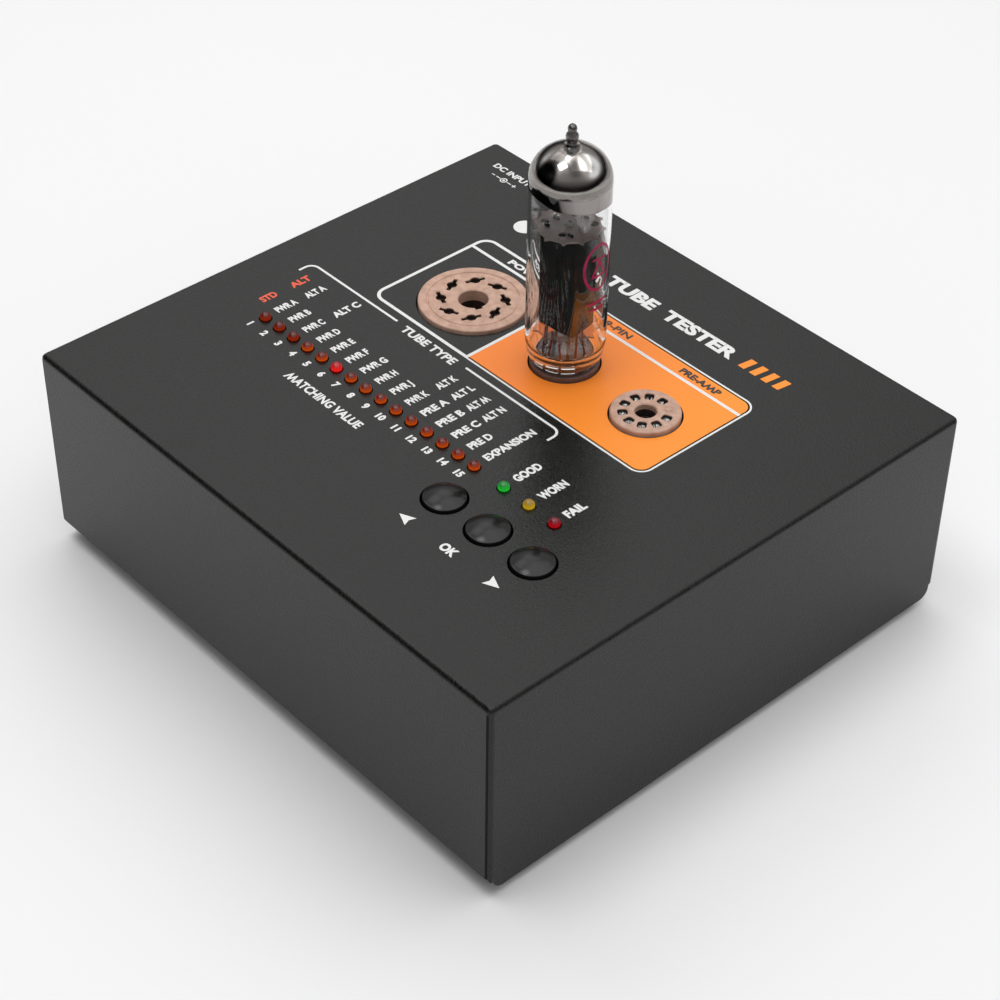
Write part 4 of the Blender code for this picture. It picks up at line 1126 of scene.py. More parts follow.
def build_noval(c, node, name):
    lo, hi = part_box(node)
    top, base = hi.z, lo.z
    R, hole, pcr = 9.25 * MM, 2.85 * MM, 11.89 / 2 * MM
    prof = [(hole, base), (8.65 * MM, base), (8.65 * MM, PANEL_Z - 5.0 * MM), (R, PANEL_Z - 4.5 * MM)]
    prof += [(R - 0.5 * MM * (1 - math.cos(a)), top - 0.5 * MM + 0.5 * MM * math.sin(a))
             for a in [math.pi / 2 * k / 5 for k in range(0, 6)]]
    prof += [(hole + 0.3 * MM, top), (hole, top - 0.28 * MM)]
    bm = bmesh.new()
    lathe(bm, prof, 112, c.x, c.y, closed=True)
    cut = bmesh.new()
    # dark sleeves down the pocket walls: painted shade in the holes
    painted_shade_sleeve = bmesh.new()

    def pocket(a, inset):
        # rounded-square pin pocket, a little wider outwards
        m = inset * MM
        pts = rounded([(-1.32 * MM + m, -1.18 * MM + m), (1.38 * MM - m, -1.34 * MM + m),
                       (1.38 * MM - m, 1.34 * MM - m), (-1.32 * MM + m, 1.18 * MM - m)], 0.75 * MM - m, 6)
        ca, sa = math.cos(a), math.sin(a)
        return [(c.x + (pcr + p) * ca - q * sa, c.y + (pcr + p) * sa + q * ca) for p, q in pts]

    for a in noval_angles():
        prism(cut, pocket(a, 0.0), top - 9 * MM, top + MM)
        sleeve(painted_shade_sleeve, pocket(a, 0.02), pocket(a, 0.12), top - 8 * MM, top - 0.24 * MM)
    finish_mesh(name + "_pocket_painted_shade", painted_shade_sleeve, "hole_painted_shade", "case", 35)
    # painted shade: dark sleeve down the centre bore
    painted_shade_sleeve = bmesh.new()
    sleeve(painted_shade_sleeve, ring(hole - 0.02 * MM, 56, c.x, c.y), ring(hole - 0.14 * MM, 56, c.x, c.y), base + 0.5 * MM, top - 1.7 * MM)
    finish_mesh(name + "_bore_painted_shade", painted_shade_sleeve, "hole_painted_shade", "case", 35)
    steps = [("DIFFERENCE", cut)]
    ca, sa = math.cos(math.radians(54)), math.sin(math.radians(54))
    mark = bmesh.new()
    lathe(mark, [(0.95 * MM, top - 0.10 * MM), (1.2 * MM, top - 0.10 * MM), (1.2 * MM, top + MM), (0.95 * MM, top + MM)],
          32, c.x + pcr * ca, c.y + pcr * sa, closed=True)
    steps.append(("DIFFERENCE", mark))
    me = boolean_mesh(bm, steps, (0.10 * MM, 2, 50))
    # the power socket takes the darker copy of the ceramic, which paints the tube's shade on it
    ob = make_object(name, me, "ceramic_painted_shade" if name.startswith("power") else "ceramic", "case", 35)
    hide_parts(node)
    for k, a in enumerate(noval_angles()):
        x, y = c.x + pcr * math.cos(a), c.y + pcr * math.sin(a)
        bm = bmesh.new()
        z1, z0 = top - 0.85 * MM, top - 7.5 * MM
        n = 20
        rings = []
        for r, z, f in ((0.86, z0, 0), (0.86, z1 - 1.1 * MM, 0), (1.02, z1 - 0.35 * MM, 0), (1.13, z1, 0), (0.98, z1 + 0.06 * MM, 0),
                        (0.74, z1 - 0.45 * MM, 0), (0.62, z1 - 1.1 * MM, 0), (0.62, z0, 0)):
            rings.append([bm.verts.new((x + r * MM * math.cos(a + 0.35 + (2 * math.pi - 0.7) * i / n),
                                        y + r * MM * math.sin(a + 0.35 + (2 * math.pi - 0.7) * i / n), z))
                          for i in range(n + 1)])
        m = len(rings)
        for q in range(m):
            p, s = rings[q], rings[(q + 1) % m]
            for i in range(n):
                bm.faces.new((p[i], p[i + 1], s[i + 1], s[i]))
        bm.faces.new([rings[q][0] for q in range(m)])
        bm.faces.new([rings[q][n] for q in reversed(range(m))])
        finish_mesh("%s_contact_%d" % (name, k + 1), bm, "silver", "case", 35, doubles=0)
    # centre shield tube down in the middle hole
    bm = bmesh.new()
    z1 = top - 3.2 * MM
    lathe(bm, [(1.45 * MM, base + 0.3 * MM), (1.75 * MM, base + 0.3 * MM), (1.75 * MM, z1), (1.45 * MM, z1)], 40,
          c.x, c.y, closed=True)
    finish_mesh(name + "_shield", bm, "contact_dull", "case", 35)
    # floor of the centre hole, in the painted shade colour
    bm = bmesh.new()
    lathe(bm, [(0.0, base + 0.1 * MM), (2.7 * MM, base + 0.1 * MM), (2.7 * MM, base + 0.25 * MM), (0.0, base + 0.25 * MM)],
          40, c.x, c.y)
    finish_mesh(name + "_floor", bm, "hole_painted_shade", "case", 35)


# ------------------------------------------------------------------ lamps and buttons
def build_lamps():
    mats = {i: "lamp_red" for i in range(15)}
    for i in (3, 4, 6, 7, 8, 9, 10, 11, 12, 13, 14):
        mats[i] = "lamp_orange"
    mats[5] = "lamp_lit"
    mats.update({15: "lamp_green", 16: "lamp_amber", 17: "lamp_fail"})
    for k, node in enumerate(LAMPS):
        lo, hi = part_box(node)
        c = (lo + hi) / 2
        z = hi.z
        r = 1.5 * MM
        prof = [(0.0, PANEL_Z - 2.5 * MM), (1.85 * MM, PANEL_Z - 2.5 * MM), (1.9 * MM, PANEL_Z - 2.4 * MM),
                (1.9 * MM, PANEL_Z - 1.6 * MM), (1.85 * MM, PANEL_Z - 1.5 * MM), (r, PANEL_Z - 1.5 * MM),
                (r, z - 1.45 * MM)]
        prof += [(r * math.cos(a), z - 1.45 * MM + 1.45 * MM * math.sin(a)) for a in
                 [math.pi / 2 * q / 10 for q in range(1, 10)]]
        prof.append((0.0, z))
        bm = bmesh.new()
        lathe(bm, prof, 40, c.x, c.y)
        key = mats[k]
        ob = finish_mesh(node + "_lens", bm, key, "case", 30)
        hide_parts(node)
        bm = bmesh.new()
        for s in (-1, 1):
            box(bm, (c.x + s * 1.27 * MM - 0.25 * MM, c.y - 0.25 * MM, lo.z),
                (c.x + s * 1.27 * MM + 0.25 * MM, c.y + 0.25 * MM, PANEL_Z - 2.5 * MM))
        finish_mesh(node + "_leads", bm, "zinc", "case", 30, doubles=0)


def build_buttons():
    for n, c in BUTTONS.items():
        lo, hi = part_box("button_" + n)
        R, top = 5.55 * MM, hi.z
        rim = top - 1.28 * MM
        crown = top - rim
        prof = [(0.0, lo.z), (2.0 * MM, lo.z), (2.0 * MM, PANEL_Z - 6.0 * MM), (R, PANEL_Z - 6.0 * MM),
                (R, rim - 0.40 * MM)]
        # small rim radius, then the crown
        prof += [(R - 0.30 * MM * (1 - math.cos(a)), rim - 0.40 * MM + 0.40 * MM * math.sin(a))
                 for a in [math.pi / 2 * q / 4 for q in range(1, 5)]]
        r0 = R - 0.30 * MM
        rad = (r0 * r0 + crown * crown) / (2 * crown)
        a0 = math.asin(r0 / rad)
        for q in range(1, 14):
            a = a0 * (1 - q / 14)
            prof.append((rad * math.sin(a), top - rad + rad * math.cos(a)))
        prof.append((0.0, top))
        bm = bmesh.new()
        lathe(bm, prof, 96, c.x, c.y)
        ob = finish_mesh("cap_" + n, bm, "cap", "button_%s_cap" % n, 40)
        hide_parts("button_" + n)


# ------------------------------------------------------------------ inlet
def build_jack():
    a = jack_axis()
    lo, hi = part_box("dc_jack")
    bm = bmesh.new()
    box(bm, (lo.x, lo.y, lo.z), (hi.x, hi.y - 2.0 * MM, hi.z))
    turn = Matrix.Translation((a.x, a.y, a.z)) @ Matrix.Rotation(-math.pi / 2, 4, "X")
    nose = bmesh.new()
    lathe(nose, [(0.0, -4.0 * MM), (4.4 * MM, -4.0 * MM), (4.4 * MM, -0.3 * MM), (4.1 * MM, 0.0), (0.0, 0.0)], 64)
    bmesh.ops.transform(nose, matrix=turn, verts=nose.verts)
    bore = bmesh.new()
    cyl(bore, 3.2 * MM, -10 * MM, MM, 48)
    bmesh.ops.transform(bore, matrix=turn, verts=bore.verts)
    me = boolean_mesh(bm, [("UNION", nose), ("DIFFERENCE", bore)], (0.12 * MM, 2, 40))
    ob = make_object("inlet_housing", me, "black_plastic", "case", 35)
    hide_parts("dc_jack")
    bm = bmesh.new()
    lathe(bm, [(0.0, -10 * MM), (1.0 * MM, -10 * MM), (1.0 * MM, -1.5 * MM), (0.6 * MM, -1.0 * MM), (0.0, -1.0 * MM)], 32)
    bmesh.ops.transform(bm, matrix=turn, verts=bm.verts)
    finish_mesh("inlet_pin", bm, "zinc", "case", 35)
    bm = bmesh.new()
    lathe(bm, [(2.85 * MM, -9.5 * MM), (3.15 * MM, -9.5 * MM), (3.15 * MM, -4.5 * MM), (2.85 * MM, -4.5 * MM)], 48, closed=True)
    bmesh.ops.transform(bm, matrix=turn, verts=bm.verts)
    finish_mesh("inlet_sleeve_contact", bm, "zinc", "case", 35)


# ------------------------------------------------------------------ tube
def catmull(points, per=6):
    out = []
    p = [points[0]] + list(points) + [points[-1]]
    for i in range(1, len(p) - 2):
        a, b, c, d = (np.array(q) for q in p[i - 1:i + 3])
        for k in range(per):
            t = k / per
            out.append(tuple(0.5 * ((2 * b) + (-a + c) * t + (2 * a - 5 * b + 4 * c - d) * t * t
                                    + (-a + 3 * b - 3 * c + d) * t ** 3)))
    out.append(tuple(points[-1]))
    return out


def dome_points(r, z0, h, n, stop=0.0):
    pts = []
    for i in range(1, n):
        a = math.pi / 2 * i / n
        if r * math.cos(a) > stop:
            pts.append((r * math.cos(a), z0 + h * math.sin(a)))
    return pts


def build_tube():
    c, z = POWER, PANEL_Z
    base = z + 2.2 * MM
    sh, dome, tip = z + 56.4 * MM, z + 65.6 * MM, z + 71.8 * MM
    R, wall = 10.6 * MM, 0.9 * MM
    outer = catmull([(8.7 * MM, base), (9.4 * MM, base + 0.8 * MM), (10.1 * MM, base + 2.6 * MM),
                     (R, base + 6.0 * MM)], 5)
    outer += [(R, base + 12 * MM), (R, z + 35 * MM), (R, sh)]
    outer += dome_points(R, sh, dome - sh, 30, stop=2.5 * MM)
    last = outer[-1]
    outer += catmull([last] + [(r * MM, z + h * MM) for r, h in (
        (1.72, 65.80), (1.40, 66.40), (1.38, 67.05), (1.55, 67.65), (1.66, 68.30), (1.50, 68.95), (1.15, 69.45),
        (1.07, 69.75), (1.20, 70.30), (1.10, 70.95), (0.76, 71.42), (0.36, 71.70))], 4)[1:]
    outer.append((0.0, tip))
    ri = R - wall
    inner = [(8.1 * MM, base), (8.1 * MM, base + 2.0 * MM)]
    inner += catmull([(8.1 * MM, base + 2.0 * MM), (8.6 * MM, base + 3.4 * MM), (ri - 0.25 * MM, base + 5.4 * MM),
                      (ri, base + 7.4 * MM)], 4)[1:]
    inner += [(ri, z + 35 * MM), (ri, sh - 0.2 * MM)]
    inner += dome_points(ri, sh - 0.2 * MM, 8.50 * MM, 24, stop=0.9 * MM)
    inner.append((0.0, sh + 8.30 * MM))
    bm = bmesh.new()
    lathe(bm, [(0.0, inner[-1][1])] + list(reversed(inner[:-1])) + outer, 96, c.x, c.y)
    ob = finish_mesh("glass_envelope", bm, "glass", "tube", 60)
    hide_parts("tube_envelope")

    # getter mirror: thin silver layer inside the dome, with an uneven lower edge
    rm = ri + 0.04 * MM
    n = 128
    prof = [(rm, t) for t in (0.0, 0.12, 0.3, 0.55, 0.8, 1.0)]
    top_pts = dome_points(rm, sh - 0.2 * MM, 8.54 * MM, 24, stop=0.9 * MM)
    bm = bmesh.new()
    edge_vals = {}
    layers = []
    th = 0.08 * MM
    for side in (0, 1):
        rings = []
        for r, t in prof:
            row = []
            for i in range(n):
                a = 2 * math.pi * i / n
                low = z + (52.1 - 1.65 * math.cos(a - math.radians(47.3)) + 0.22 * math.sin(3 * a + 1.0)
                           + 0.12 * math.sin(7 * a)) * MM
                zz = low + (sh - 0.2 * MM - low) * t
                rr = r - side * th
                v = bm.verts.new((c.x + rr * math.cos(a), c.y + rr * math.sin(a), zz))
                edge_vals[v] = 1.0 - t
                row.append(v)
            rings.append(row)
        for r, zz in top_pts:
            row = []
            for i in range(n):
                a = 2 * math.pi * i / n
                rr = r - side * th
                v = bm.verts.new((c.x + rr * math.cos(a), c.y + rr * math.sin(a), zz - side * th))
                edge_vals[v] = 0.0
                row.append(v)
            rings.append(row)
        v = bm.verts.new((c.x, c.y, sh + 8.34 * MM - side * th))
        edge_vals[v] = 0.0
        rings.append([v])
        layers.append(rings)
    for rings in layers:
        for p, q in zip(rings, rings[1:]):
            for i in range(n):
                j = (i + 1) % n
                if len(q) == 1:
                    bm.faces.new((p[i], p[j], q[0]))
                else:
                    bm.faces.new((p[i], p[j], q[j], q[i]))
    for i in range(n):
        j = (i + 1) % n
        bm.faces.new((layers[0][0][i], layers[0][0][j], layers[1][0][j], layers[1][0][i]))
    bm.verts.index_update()
    bm.verts.ensure_lookup_table()
    vals = [edge_vals[v] for v in bm.verts]
    # painted reflection round the flank: dark towards the front left, pale towards the right
    flank_painted_reflection_values = []
    for v in bm.verts:
        a = math.atan2(v.co.y - c.y, v.co.x - c.x) - math.radians(-58.0)
        a = (a + math.pi) % (2 * math.pi) - math.pi
        lift = (v.co.z - (z + 54.0 * MM)) / (3.0 * MM)
        flank_painted_reflection_values.append(min(1.0, max(0.0, 0.5 + 1.9 * math.sin(a) * math.cos(a / 2) + 0.16 * lift)))
    # painted reflection: bands of light and dark running down the dome from the tip
    dome_painted_reflection_values = []
    reflection_spots = ((-14.0, 9.0, 0.80, 0.16, 0.62), (-27.0, 8.0, 0.56, 0.13, 0.50), (3.0, 9.0, 0.86, 0.13, 0.50),
             (24.0, 9.0, 0.60, 0.13, 0.62), (40.0, 12.0, 0.38, 0.08, 0.42), (58.0, 14.0, 0.58, 0.22, 0.40),
             (-50.0, 20.0, 0.48, 0.20, -0.42), (6.0, 13.0, 0.58, 0.16, -0.40), (-4.0, 60.0, 0.24, 0.07, -0.34),
             (0.0, 62.0, 0.135, 0.028, 0.34), (0.0, 180.0, 1.0, 0.075, -0.9), (-74.0, 14.0, 0.45, 0.25, 0.34),
             (-38.0, 7.0, 0.36, 0.06, 0.40), (140.0, 30.0, 0.55, 0.25, 0.30), (-140.0, 30.0, 0.55, 0.25, -0.25))
    for v in bm.verts:
        b = math.degrees(math.atan2(v.co.y - c.y, v.co.x - c.x)) + 42.3
        b = (b + 180.0) % 360.0 - 180.0
        q = max(0.0, (v.co.z - sh) / (8.34 * MM))
        phi = math.asin(min(1.0, q)) / (math.pi / 2)
        f = 0.50
        for b0, bw, p0, pw, amount in reflection_spots:
            f += 1.45 * amount * math.exp(-((b - b0) / bw) ** 2 - ((phi - p0) / pw) ** 2)
        dome_painted_reflection_values.append(min(1.0, max(0.0, f)))
    ob = finish_mesh("getter_flash", bm, "mirror", "tube", 60, doubles=0)
    at = ob.data.attributes.new("dome_painted_reflection", "FLOAT", "POINT")
    at.data.foreach_set("value", np.array(dome_painted_reflection_values, np.float32))
    at = ob.data.attributes.new("edge", "FLOAT", "POINT")
    at.data.foreach_set("value", np.array(vals, np.float32))
    at = ob.data.attributes.new("flank_painted_reflection", "FLOAT", "POINT")
    at.data.foreach_set("value", np.array(flank_painted_reflection_values, np.float32))

    # dark core inside the sealing tip, which makes the tip look dark
    bm = bmesh.new()
    lathe(bm, [(r * MM, z + h * MM) for r, h in (
        (0.0, 65.2), (1.10, 65.3), (1.16, 65.8), (1.00, 66.4), (1.00, 67.05), (1.15, 67.65), (1.25, 68.3), (1.12, 68.95),
        (0.80, 69.45), (0.74, 69.75), (0.86, 70.3), (0.78, 70.9), (0.45, 71.2), (0.0, 71.35))], 32, c.x, c.y)
    finish_mesh("sealing_tip_core", bm, "tip_dark_core", "tube", 60)

    # glass button of the stem, with raised beads where the pins pass
    bm = bmesh.new()
    lathe(bm, [(0.0, base), (7.5 * MM, base), (7.8 * MM, base + 0.3 * MM), (7.8 * MM, base + 1.9 * MM),
               (7.4 * MM, base + 2.3 * MM), (7.0 * MM, base + 2.4 * MM), (4.6 * MM, base + 1.7 * MM),
               (1.6 * MM, base + 1.5 * MM), (0.0, base + 1.5 * MM)], 80, c.x, c.y)
    ob = finish_mesh("stem_glass_button", bm, "glass", "tube", 60)
    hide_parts("tube_stem")
    pcr = 11.89 / 2 * MM
    z_mica = z + 12.0 * MM
    for k, a in enumerate(noval_angles()):
        x, y = c.x + pcr * math.cos(a), c.y + pcr * math.sin(a)
        bm = bmesh.new()
        lathe(bm, [(0.0, base - 7.0 * MM), (0.28 * MM, base - 6.85 * MM), (0.51 * MM, base - 6.3 * MM),
                   (0.51 * MM, base - 0.02 * MM), (0.0, base - 0.02 * MM)], 24, x, y)
        finish_mesh("pin_%d" % (k + 1), bm, "nickel", "tube", 40)
        # seal wire above the button, bent in towards the electrode mount
        bm = bmesh.new()
        f = (0.98, 0.90, 0.80)[k % 3]
        turn = 0.10 * ((k * 5) % 3 - 1)
        pts = []
        for q in range(9):
            t = q / 8
            s = t * t * (3 - 2 * t)
            rr = pcr * (1 + (f - 1) * s)
            aa = a + turn * s
            pts.append((c.x + rr * math.cos(aa), c.y + rr * math.sin(aa), base + 0.05 * MM + (z_mica - 0.2 * MM - base - 0.05 * MM) * t))
        tube_along(bm, pts, 0.32 * MM, 10)
        finish_mesh("lead_%d" % (k + 1), bm, "dumet", "tube", 40)
        bm = bmesh.new()
        lathe(bm, [(0.34 * MM, base + 1.75 * MM), (0.75 * MM, base + 1.75 * MM), (0.62 * MM, base + 2.35 * MM),
                   (0.40 * MM, base + 2.7 * MM), (0.31 * MM, base + 2.7 * MM)], 20, x, y, closed=True)
        finish_mesh("bead_%d" % (k + 1), bm, "glass", "tube", 60)

    # electrode mount
    ang = math.radians(7.5)
    ca, sa = math.cos(ang), math.sin(ang)

    def at_mount(px, py):
        return c.x + px * ca - py * sa, c.y + px * sa + py * ca

    za, zb = z + 12.8 * MM, z + 42.2 * MM
    wide = [(-5.75, -4.65), (-3.0, -4.65), (-2.6, -4.86), (-2.2, -4.65), (2.2, -4.65), (2.6, -4.86), (3.0, -4.65),
            (5.75, -4.65)]
    wide = [(x * MM, y * MM) for x, y in wide + [(-x, -y) for x, y in wide]]
    bm = bmesh.new()
    rows = []
    heights = [za, za + 0.8 * MM]
    ribs = 2
    for q in range(ribs):
        h0 = za + (7.0 + 13.5 * q) * MM
        heights += [h0, h0 + 0.5 * MM, h0 + 1.0 * MM, h0 + 1.5 * MM]
    heights += [zb - 0.8 * MM, zb]
    rib_set = set()
    for q in range(ribs):
        rib_set.update((3 + 4 * q, 4 + 4 * q))
    outer_out = rounded([(x, y) for x, y in wide], 0.55 * MM, 3)
    for idx, h in enumerate(heights):
        grow = 0.10 * MM if idx in rib_set else 0.0
        rows.append([(px + grow * px / math.hypot(px, py), py + grow * py / math.hypot(px, py), h) for px, py in outer_out])
    rings = [[bm.verts.new((*at_mount(px, py), h)) for px, py, h in row] for row in rows]
    inner_rows = [[bm.verts.new((*at_mount(px * 0.93, py * 0.93), h)) for px, py, h in rows[i]] for i in (len(rows) - 1, 0)]
    seq = rings + inner_rows
    m = len(outer_out)
    for q in range(len(seq)):
        a, b = seq[q], seq[(q + 1) % len(seq)]
        for i in range(m):
            j = (i + 1) % m
            bm.faces.new((a[i], a[j], b[j], b[i]))
    ob = finish_mesh("anode_box", bm, "anode", "tube", 28)
    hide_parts("tube_anode")
    # folded seams down the far sides
    for name, x0, y0, x1, y1 in (("anode_seam_a", -6.5, -0.35, -5.82, 0.35), ("anode_seam_b", -0.35, 4.72, 0.35, 5.4)):
        bm = bmesh.new()
        prism(bm, [at_mount(x * MM, y * MM) for x, y in ((x0, y0), (x1, y0), (x1, y1), (x0, y1))],
              za + 0.6 * MM, zb - 0.6 * MM)
        bmesh.ops.bevel(bm, geom=list(bm.edges), offset=0.1 * MM, segments=2, profile=0.5, affect="EDGES")
        finish_mesh(name, bm, "anode", "tube", 35)
    # micas with serrated rims and slots
    for node, name, h, r_out in (("tube_lower_mica", "mica_lower", z + 12.0 * MM, 9.0 * MM),
                                 ("tube_upper_mica", "mica_upper", z + 42.5 * MM, 9.35 * MM)):
        outline = []
        teeth = 12
        for i in range(teeth):
            a = 2 * math.pi * i / teeth + ang
            da = 2 * math.pi / teeth
            for f, rr in ((-0.05, r_out - 0.12 * MM), (0.0, r_out), (0.05, r_out - 0.12 * MM), (0.16, r_out - 0.95 * MM),
                          (0.32, r_out - 1.15 * MM), (0.5, r_out - 1.18 * MM), (0.68, r_out - 1.15 * MM),
                          (0.84, r_out - 0.95 * MM)):
                outline.append((c.x + rr * math.cos(a + da * f), c.y + rr * math.sin(a + da * f)))
        bm = bmesh.new()
        prism(bm, outline, h, h + 0.45 * MM)
        cut = bmesh.new()
        for px, py, r in ((0, 0, 1.2), (3.6, 0, 0.55), (-3.6, 0, 0.55), (4.8, 0, 0.55), (-4.8, 0, 0.55)):
            x, y = at_mount(px * MM, py * MM)
            cyl(cut, r * MM, h - MM, h + MM, 20, x, y)
        for px, py in ((-5.5, -2.9), (4.6, 4.4), (1.7, -4.6), (-1.8, 4.6)):
            x, y = at_mount(px * MM, py * MM)
            cyl(cut, 1.12 * MM, h - MM, h + MM, 24, x, y)
        me = boolean_mesh(bm, [("DIFFERENCE", cut)])
        ob = make_object(name, me, "mica_clear" if node == "tube_lower_mica" else "mica", "tube", 30)
        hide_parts(node)
    # support rods of the grids, and the cathode sleeve
    rods = [(3.6, 0, 0.42), (-3.6, 0, 0.42), (4.8, 0, 0.36), (-4.8, 0, 0.36)]
    for k, (px, py, r) in enumerate(rods):
        x, y = at_mount(px * MM, py * MM)
        bm = bmesh.new()
        lathe(bm, [(0.0, z + 10.2 * MM), (r * MM, z + 10.3 * MM), (r * MM, z + 43.9 * MM), (r * 0.6 * MM, z + 44.1 * MM),
                   (0.0, z + 44.1 * MM)], 16, x, y)
        finish_mesh("grid_rod_%d" % (k + 1), bm, "nickel", "tube", 40)
    bm = bmesh.new()
    lathe(bm, [(0.55 * MM, z + 10.4 * MM), (0.95 * MM, z + 10.4 * MM), (0.95 * MM, z + 43.8 * MM), (0.55 * MM, z + 43.8 * MM)],
          32, c.x, c.y, closed=True)
    ob = finish_mesh("cathode_sleeve", bm, "oxide", "tube", 40)
    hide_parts("tube_cathode")
    # wound control grid
    bm = bmesh.new()
    turns, per = 24, 16
    pts = []
    for q in range(turns * per + 1):
        a = 2 * math.pi * q / per
        x, y = at_mount(3.1 * MM * math.cos(a), 1.8 * MM * math.sin(a))
        pts.append((x, y, z + 13.6 * MM + 27.6 * MM * q / (turns * per)))
    tube_along(bm, pts, 0.07 * MM, 5)
    ob = finish_mesh("grid_winding", bm, "nickel", "tube", 60)
    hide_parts("tube_control_grid")
    # metal tabs over the upper mica
    for k, (px, py) in enumerate(((-3.6, -4.3), (3.9, -4.3), (-4.1, 4.3), (1.6, 4.9))):
        bm = bmesh.new()
        pts = [at_mount((px + sx * 0.8) * MM, (py + sy * 0.22) * MM) for sx, sy in ((-1, -1), (1, -1), (1, 1), (-1, 1))]
        prism(bm, pts, z + 42.96 * MM, z + 43.75 * MM)
        bmesh.ops.bevel(bm, geom=list(bm.edges), offset=0.08 * MM, segments=2, profile=0.5, affect="EDGES")
        finish_mesh("mount_tab_%d" % (k + 1), bm, "anode", "tube", 35)
    # getter ring on its post
    gx, gy = at_mount(0.0, 0.0)
    bm = bmesh.new()
    pts = []
    for q in range(49):
        a = 2 * math.pi * q / 48 * 0.97
        pts.append((gx + 4.2 * MM * math.cos(a), gy + 4.2 * MM * math.sin(a), z + 52.0 * MM))
    tube_along(bm, pts, 0.36 * MM, 10)
    ob = finish_mesh("getter_ring", bm, "nickel", "tube", 40)
    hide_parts("tube_getter")
    bm = bmesh.new()
    tube_along(bm, [(gx + 4.2 * MM, gy, z + 51.8 * MM), (gx + 4.3 * MM, gy, z + 48 * MM), (gx + 4.2 * MM, gy, z + 43.2 * MM)],
               0.22 * MM, 8)
    finish_mesh("getter_post", bm, "nickel", "tube", 40)
    build_tube_mark(c, z, R)


def band_on_glass(c, R, a_mid, z_mid, outer_pts, inner_pts, name):
    r0, r1 = R + 0.008 * MM, R + 0.035 * MM
    bm = bmesh.new()
    rings = []
    for pts, r in ((outer_pts, r0), (outer_pts, r1), (inner_pts, r1), (inner_pts, r0)):
        row = []
        for u, v in pts:
            a = a_mid + u * MM / R
            row.append(bm.verts.new((c.x + r * math.cos(a), c.y + r * math.sin(a), z_mid + v * MM)))
        rings.append(row)
    n = len(outer_pts)
    for k in range(4):
        a, b = rings[k], rings[(k + 1) % 4]
        for i in range(n):
            j = (i + 1) % n
            bm.faces.new((a[i], a[j], b[j], b[i]))
    return finish_mesh(name, bm, "magenta", "tube", 40, doubles=0)


def strip_on_glass(c, R, a_mid, z_mid, line, width, name):
    """A printed stroke along a line of (tangential, vertical) points in millimetres."""
    dense = []
    for p, q in zip(line, line[1:]):
        steps = max(2, int(math.hypot(q[0] - p[0], q[1] - p[1]) / 0.35))
        for k in range(steps):
            t = k / steps
            dense.append((p[0] + (q[0] - p[0]) * t, p[1] + (q[1] - p[1]) * t))
    dense.append(line[-1])
    r0, r1 = R + 0.008 * MM, R + 0.035 * MM
    bm = bmesh.new()
    rows = []
    for k, p in enumerate(dense):
        a = Vector(dense[max(k - 1, 0)])
        b = Vector(dense[min(k + 1, len(dense) - 1)])
        d = (b - a).normalized()
        nx, ny = -d.y * width / 2, d.x * width / 2
        row = []
        for u, v, r in ((p[0] + nx, p[1] + ny, r0), (p[0] + nx, p[1] + ny, r1), (p[0] - nx, p[1] - ny, r1),
                        (p[0] - nx, p[1] - ny, r0)):
            ang = a_mid + u * MM / R
            row.append(bm.verts.new((c.x + r * math.cos(ang), c.y + r * math.sin(ang), z_mid + v * MM)))
        rows.append(row)
    for p, q in zip(rows, rows[1:]):
        for k in range(4):
            j = (k + 1) % 4
            bm.faces.new((p[k], p[j], q[j], q[k]))
    bm.faces.new(list(reversed(rows[0])))
    bm.faces.new(rows[-1])
    return finish_mesh(name, bm, "magenta", "tube", 40, doubles=0)


def build_tube_mark(c, z, R):
    """Plain printed mark on the glass: an oval ring with a diode sign, and short strokes below."""
    a_mid, zc = math.radians(3.0), z + 35.0 * MM
    n = 64
    o = [(4.8 * math.cos(2 * math.pi * i / n), 7.0 * math.sin(2 * math.pi * i / n)) for i in range(n)]
    i_ = [(4.1 * math.cos(2 * math.pi * i / n), 6.3 * math.sin(2 * math.pi * i / n)) for i in range(n)]
    band_on_glass(c, R, a_mid, zc, o, i_, "glass_mark_ring")
    strip_on_glass(c, R, a_mid, zc, [(-2.2, -2.6), (2.2, -2.6), (0.0, 2.0), (-2.2, -2.6)], 0.55, "glass_mark_triangle")
    strip_on_glass(c, R, a_mid, zc, [(-2.2, 2.6), (2.2, 2.6)], 0.6, "glass_mark_bar")
    for k, (u0, u1) in enumerate(((-3.4, 3.4), (-2.4, 2.4))):
        strip_on_glass(c, R, a_mid, zc, [(u0, -10.6 - 2.0 * k), (u1, -10.6 - 2.0 * k)], 0.8, "glass_mark_stroke_%d" % (k + 1))


# ------------------------------------------------------------------ carried-over CAD nodes
def dress_nodes():
    table = {"main_board": "board", "boost_transformer": "ferrite", "reservoir_capacitor": "sleeve",
             "microcontroller": "epoxy"}
    for name, ob in NODES.items():
        if ob.hide_render:
            continue
        if name in table:
            key = table[name]
        elif name.startswith("board_standoff"):
            key = "brass"
        elif name.startswith("board_screw"):
            key = "zinc"
        elif name.startswith("side_bracket"):
            key = "strip_steel"
        elif name.startswith("switch_"):
            key = "black_plastic"
        else:
            raise SystemExit("no look for " + name)
        ob.data.materials.clear()
        ob.data.materials.append(MATS[key].m)


